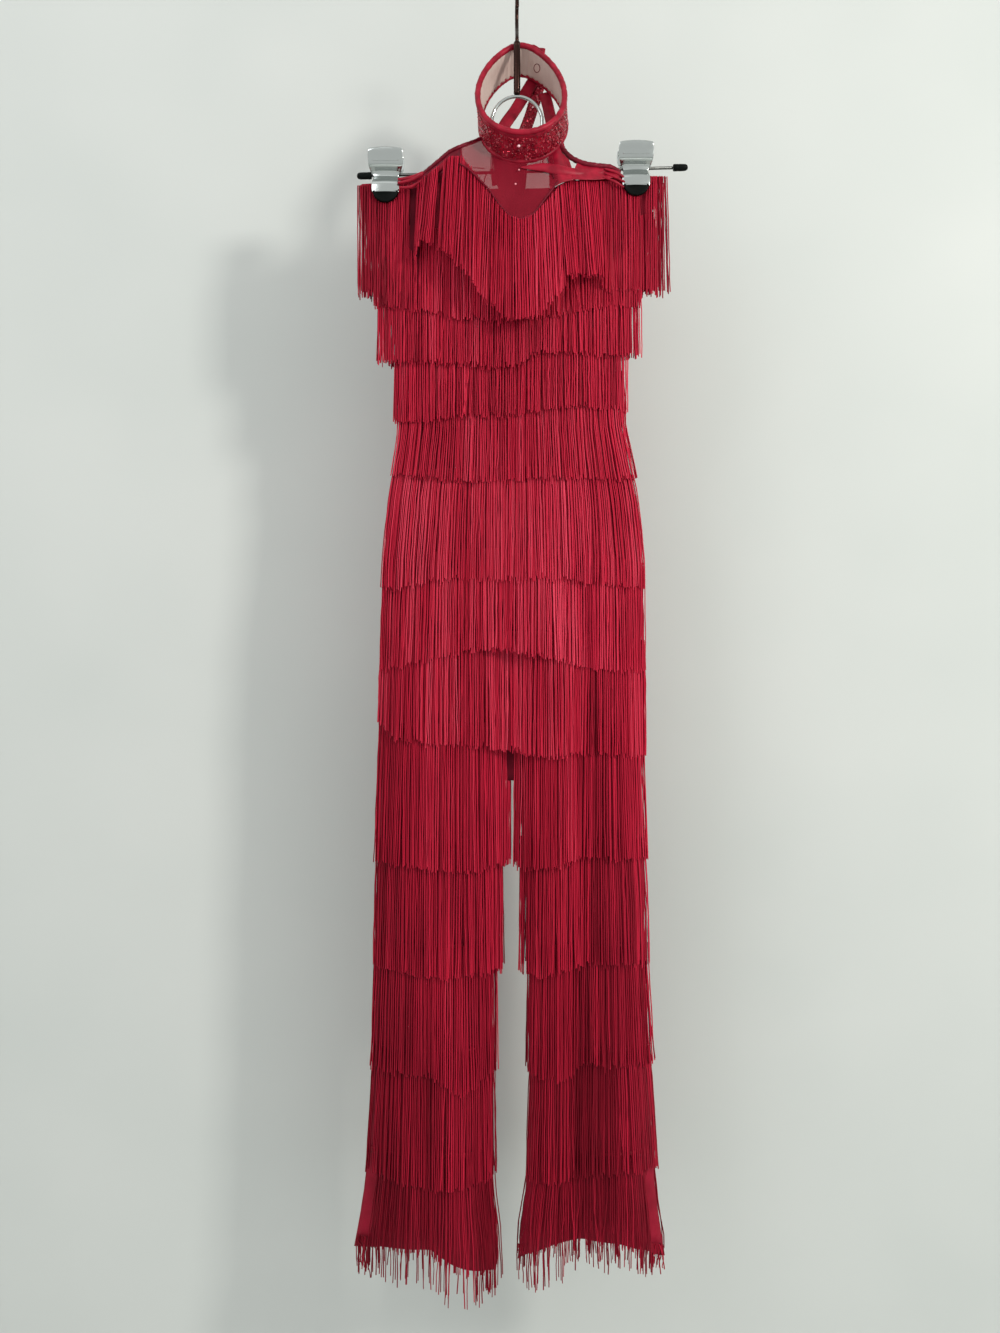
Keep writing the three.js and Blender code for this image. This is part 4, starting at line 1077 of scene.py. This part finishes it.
# a few larger stones, flattened from front to back: place and size
stones = [((1.5, -49.5, -196.5), 1.9), ((-2, -25.5, -231), 1.3), ((2, -25, -214), 1.1), ((20, 34, -113), 1.5)]
stoneMeshes = []
for place, size in stones:
    bpy.ops.mesh.primitive_ico_sphere_add(subdivisions=1, radius=size * mm)
    stone = bpy.context.object
    stone.data.transform(Matrix.Scale(0.55, 4, (0, 1, 0)))
    stone.data.transform(Matrix.Translation(Vector(place) * mm))
    stone.data.materials.append(glintCrystal)
    stoneMeshes.append(stone)
finishPiece(joinPieces("glass_stones", stoneMeshes), "satin_trim")
print("yoke, bindings and straps made")

# ---- hanger ----

bar = {"radius": 1.8, "left": (-174, -211), "right": (187, -201.5), "capLength": 18}
arch = {"radius": 2.0, "half": 30, "apex": -116}
neck = {"top": -50, "foot": -113.7}
hook = {"radius": 2.25, "inner": 15, "fromTurn": -0.1, "toTurn": 3.42}
clips = {"right": -157, "left": 142}
# the clip's side view: height over the bar, distance from it and half width
clipProfile = [(27.6, 11.6, 18.2), (26.8, 13.4, 19.2), (24.5, 14.6, 19.8), (18, 12.8, 20.4),
               (9, 10.2, 19.8), (5, 6.0, 18.4), (2.5, 3.4, 17), (-2, 3.0, 14.6), (-5, 4.4, 14.2),
               (-9, 7.6, 15), (-13, 10.2, 15.8), (-19, 10.8, 16), (-24, 10.8, 15.4)]
clipSize = {"thick": 1.1, "bow": 1.5, "flange": 3.4, "boss": 11.5, "bossOut": 1.3, "padRadius": 15.2,
            "padTop": -24.2, "padHeight": 13.4, "padFrom": 8.4, "padTo": 12.4}


def barPoint(x):
    (leftX, leftZ), (rightX, rightZ) = bar["left"], bar["right"]
    return np.array([x, 0, leftZ + (rightZ - leftZ) * (x - leftX) / (rightX - leftX)])


def turnedPiece(name, start, end, outline, material, sides=32):
    # a solid of revolution: outline gives the share of the way from start to end and the radius there
    start, end = np.array(start, float) * mm, np.array(end, float) * mm
    path = np.array([start + (end - start) * share for share, _ in outline])
    way = (end - start) / np.linalg.norm(end - start)
    side = np.cross(way, (0, 1, 0))
    side /= np.linalg.norm(side)
    other = np.cross(way, side)
    angles = np.linspace(0, 2 * math.pi, sides, endpoint=False)
    ring = np.outer(np.cos(angles), side) + np.outer(np.sin(angles), other)
    points = np.concatenate([at + ring * radius * mm for at, (_, radius) in zip(path, outline)])
    count = len(outline)
    faces = [(k * sides + j, k * sides + (j + 1) % sides,
              (k + 1) * sides + (j + 1) % sides, (k + 1) * sides + j)
             for k in range(count - 1) for j in range(sides)]
    faces += [tuple(range(sides - 1, -1, -1)), tuple((count - 1) * sides + j for j in range(sides))]
    return turnOutwards(meshObject(name, points, faces, material))


ends = barPoint(bar["left"][0]), barPoint(bar["right"][0])
rodOutline = [(0, 1.2), (0.002, bar["radius"]), (0.998, bar["radius"]), (1, 1.2)]
rod = turnedPiece("bar_rod", *ends, rodOutline, nickel)
ferruleOutline = [(0, 2.0), (0.15, 3.3), (0.5, 3.7), (0.85, 3.3), (1, 2.0)]
ferrule = turnedPiece("bar_ferrule", barPoint(-116), barPoint(-111), ferruleOutline, chrome)
finishPiece(joinPieces("bar_rod", [rod, ferrule]), "chrome", "hanger_bar")
capOutline = [(0.0, 3.2), (0.02, 3.9), (0.07, 4.2), (0.3, 4.15), (0.34, 3.95), (0.38, 4.15), (0.78, 4.0),
              (0.88, 3.6), (0.95, 2.8), (0.99, 1.6), (1.0, 0.4)]
for name, (x, sign) in {"right": (bar["left"][0], -1), "left": (bar["right"][0], 1)}.items():
    inner, outer = barPoint(x + sign * 0.3), barPoint(x + sign * bar["capLength"])
    cap = turnedPiece(f"bar_cap_{name}", inner, outer, capOutline, rubber)
    finishPiece(cap, "black_rubber", f"hanger_cap_{name}")

bend = [(-arch["half"] * math.cos(a), 0, arch["apex"] - arch["half"] + arch["half"] * math.sin(a))
        for a in np.linspace(0, math.pi, 17)]
feet = [barPoint(x) + (0, 0, bar["radius"] + 1) for x in (-arch["half"], arch["half"])]
archPath = smoothPath(np.array([feet[0], *bend, feet[1]]) * mm, 120)
archWire = meshObject("arch_wire", *tubeMesh(archPath, arch["radius"] * mm, 20), chrome)
weldOutline = [(0, 1.6), (0.2, 2.7), (0.55, 2.9), (1, 2.05)]
weldBeads = [turnedPiece("weld", f - (0, 0, 1.4), f + (0, 0, 3.2), weldOutline, chrome) for f in feet]
finishPiece(joinPieces("arch_wire", [archWire, *weldBeads]), "chrome", "hanger_arch")
neckOutline = [(0, 2.6), (0.01, 3.6), (0.03, 4.0), (0.06, 4.0), (0.075, 3.75), (0.09, 4.0), (0.9, 4.0),
               (0.915, 3.75), (0.93, 4.0), (0.97, 4.0), (0.99, 3.5), (1, 2.6)]
neckTube = turnedPiece("neck_tube", (0, 0, neck["foot"]), (0, 0, neck["top"]), neckOutline, reflectionPaintedSteel)
finishPiece(neckTube, "chrome", "hanger_neck")
reach = hook["inner"] + hook["radius"]
over = [(0, reach * math.cos(a), -hook["inner"] + reach * math.sin(a))
        for a in np.linspace(hook["fromTurn"], hook["toTurn"], 17)]
stem = [(0, 0, neck["top"] + 0.6), (0, 0.5, neck["top"] + 5), (0, 12, -29)]
hookPath = smoothPath(np.array([*stem, *over]) * mm, 140)
hookTaper = np.minimum(1, np.sqrt(np.clip((139.5 - np.arange(140)) / 4, 0.02, 1)))
hookWire = meshObject("hook_wire", *tubeMesh(hookPath, hook["radius"] * mm * hookTaper, 20), reflectionPaintedSteel)
finishPiece(hookWire, "chrome", "hanger_hook")


def clipPlate(name, x, side):
    # one jaw of a clip: a pressed plate with turned-in sides, lever above the bar and jaw below it
    profile = smoothPath(np.array([(up, out, half) for up, out, half in clipProfile]), 60)
    acrossShares = np.array([-1, -1, -0.97, -0.9, -0.75, -0.5, -0.25, 0, 0.25, 0.5, 0.75, 0.9, 0.97, 1, 1])
    centre = barPoint(x)
    grid = []
    for up, out, half in profile:
        row = []
        corner = np.clip((27.6 - up) / 2.2, 0, 1) ** 0.5
        for k, share in enumerate(acrossShares):
            turnedIn = clipSize["flange"] * (k in (0, 14)) * np.clip((out - 4) / 6, 0, 1)
            rounded = half * (0.86 + 0.14 * corner)
            y = side * (out + clipSize["bow"] * (1 - share**2) - turnedIn)
            row.append((x + share * rounded, y, centre[2] + up + 0.9 * (1 - share**2) * (up > 25)))
        grid.append(row)
    plate = solidSheet(name, np.array(grid) * mm, clipSize["thick"] * mm, chrome)
    modifier = plate.modifiers.new("Bevel", "BEVEL")
    modifier.width = 0.28 * mm
    modifier.segments = 2
    modifier.limit_method = "ANGLE"
    bakeModifiers(plate)
    plate.data.shade_smooth()
    return plate


def clipTrim(x, side, boss):
    # a pressed rim on the lever, and a round boss on the jaw where the clip has one
    centre = barPoint(x)
    pieces = []
    for up, rise in ((22.0, 1.6), (13.5, -1.0)):
        shareLine = np.linspace(-0.8, 0.8, 25)
        bow = clipSize["bow"] * (1 - shareLine**2)
        out = np.interp(up, [9, 18, 26], [10.2, 12.8, 14.6]) + bow + 0.5
        high = centre[2] + up + rise * (1 - shareLine**2)
        line = np.stack([x + shareLine * 19.5, side * out, high], 1) * mm
        pieces.append(meshObject("ridge", *tubeMesh(line, 0.55 * mm, 8), chrome))
    if boss:
        radius = clipSize["boss"]
        at = centre + (0, side * 11.6, -13.5)
        outline = [(0, radius), (0.3, radius), (0.8, radius - 0.5), (1, radius - 1.4), (0.94, 8), (0.86, 4),
                   (0.83, 0.2)]
        pieces.append(turnedPiece("boss", at, at + (0, side * clipSize["bossOut"], 0.0), outline, chrome, 48))
    return pieces


def turnedPad(name, x, side):
    # the half-round rubber shoe under the jaw, with a rounded rim
    centre = barPoint(x)
    angles = np.linspace(math.pi, 2 * math.pi, 33)
    near, far, radius, height = (clipSize[key] for key in ("padFrom", "padTo", "padRadius", "padHeight"))
    top = centre[2] + clipSize["padTop"] + 1.4
    rim = [(near, 0.0), (far - 1.4, 0.0), (far - 0.4, 0.5), (far, 1.6), (far - 0.5, 2.6), (far - 0.9, 4.0)]
    rings = [[(x + (radius - inset) * math.cos(a), side * y, top + (height - inset) * math.sin(a))
              for a in angles] for y, inset in rim]
    points = np.array(rings).reshape(-1, 3) * mm
    faces = gridFaces(6, 33)
    faces += [(k * 33 + 32, (k + 1) * 33 + 32, (k + 1) * 33, k * 33) for k in range(5)]
    faces += [tuple(range(33)), tuple(5 * 33 + j for j in range(32, -1, -1))]
    return turnOutwards(meshObject(name, points, faces, rubber))


for name, x in clips.items():
    for face, side in (("front", -1), ("back", 1)):
        trim = clipTrim(x, side, boss=name == "left" and side < 0)
        plate = joinPieces(f"clip_{name}_{face}_plate", [clipPlate("plate", x, side), *trim])
        finishPiece(plate, "chrome", f"clip_{name}_{face}")
        finishPiece(turnedPad(f"clip_{name}_{face}_shoe", x, side), "black_rubber", f"clip_{name}_pad_{face}")
    coil = np.linspace(0, 1, 160)
    centre = barPoint(x)
    turn = coil * 8 * math.tau
    spring = np.stack([x - 8 + 16 * coil, 2.5 * np.cos(turn), 2.5 * np.sin(turn)], 1)
    spring[:, 2] += centre[2]
    finishPiece(meshObject(f"clip_{name}_spring", *tubeMesh(spring * mm, 0.45 * mm, 8), chrome), "chrome")
print("hanger made")

# ---- camera, light and floor ----

view = {"distance": 1.45, "lens": 32.63, "middle": (-0.0204, -0.8)}
camera = bpy.data.objects.new("camera", bpy.data.cameras.new("camera"))
camera.data.lens = view["lens"]
camera.data.sensor_width = 36
camera.location = (view["middle"][0], -view["distance"], view["middle"][1])
camera.rotation_euler = (math.radians(90), 0, 0)
bpy.context.scene.collection.objects.link(camera)
bpy.context.scene.camera = camera


def addLight(name, place, target, size, power, colour):
    light = bpy.data.lights.new(name, "AREA")
    light.shape = "RECTANGLE"
    light.size, light.size_y = size
    light.energy = power
    light.color = toLinear(colour)[:3]
    lamp = bpy.data.objects.new(name, light)
    lamp.location = place
    lamp.rotation_euler = (Vector(target) - Vector(place)).to_track_quat("-Z", "Y").to_euler()
    bpy.context.scene.collection.objects.link(lamp)


# each lamp's place, what it points at, its size in metres, its power in watts and its colour
lights = {
    "key": ((1.6, -1.65, 0.15), (0, 0, -0.65), (0.32, 0.32), 32, "#fffdf6"),
    "fill": ((-1.3, -1.6, 0.5), (0, 0, -0.3), (1.0, 1.0), 10, "#fbfcff"),
    "wallWash": ((-0.6, -0.7, 0.8), (-0.3, 0.2, -0.8), (1.4, 0.3), 0.6, "#ffffff"),
    "lowWash": ((0.2, -1.1, -1.72), (0.1, 0.2, -1.0), (2.0, 0.3), 1.9, "#ffffff"),
}
for name, settings in lights.items():
    addLight(name, *settings)

# a pale and nearly even room for the chrome to reflect, a little brighter overhead
world = bpy.data.worlds.new("studio")
world.use_nodes = True
worldTree = world.node_tree
way = addNode(worldTree, "ShaderNodeTexCoord")
wayParts = addNode(worldTree, "ShaderNodeSeparateXYZ", {"Vector": way.outputs["Generated"]})
rise = addNode(
    worldTree, "ShaderNodeMapRange", {"Value": wayParts.outputs["Z"]},
    {"From Min": -0.4, "From Max": 0.75, "To Min": 0.84, "To Max": 0.93})
worldTree.links.new(rise.outputs["Result"], worldTree.nodes["Background"].inputs["Strength"])
worldTree.nodes["Background"].inputs["Color"].default_value = toLinear("#f2f4f2")
bpy.context.scene.world = world
bpy.context.scene.view_settings.view_transform = "Standard"

sweep = {"floor": -1.98, "wall": 0.2, "bend": 0.16, "half": 3.2, "front": -3.0, "top": 1.6}


def sweepMesh():
    # a pale paper roll: floor, one bend and a wall
    turns = np.linspace(0, math.pi / 2, 17)
    profile = [(sweep["front"], sweep["floor"])]
    middle = (sweep["wall"] - sweep["bend"], sweep["floor"] + sweep["bend"])
    bend = sweep["bend"]
    profile += [(middle[0] + bend * math.sin(a), middle[1] - bend * math.cos(a)) for a in turns]
    profile.append((sweep["wall"], sweep["top"]))
    points = [(x, y, z) for y, z in profile for x in (-sweep["half"], sweep["half"])]
    faces = [(2 * k, 2 * k + 1, 2 * k + 3, 2 * k + 2) for k in range(len(profile) - 1)]
    return points, faces


paper, paperTree, paperShader, _, _ = mottledMaterial(
    "matt paper roll, pale grey", {"Scale": 3.0, "Detail": 2.0}, [(0.3, "#c3c7c4"), (0.7, "#c9ccc9")],
    {"Roughness": 0.9})
# the paper is clear from behind, so that a camera there sees the garment's back
paperSide = addNode(paperTree, "ShaderNodeNewGeometry")
paperClear = addNode(paperTree, "ShaderNodeBsdfTransparent")
paperMix = addNode(paperTree, "ShaderNodeMixShader", {
    0: paperSide.outputs["Backfacing"], 1: paperShader.outputs["BSDF"], 2: paperClear.outputs["BSDF"]})
paperTree.links.new(paperMix.outputs["Shader"], paperTree.nodes["Material Output"].inputs["Surface"])
meshObject("paper_roll", *sweepMesh(), paper)
print("camera, light and floor made")
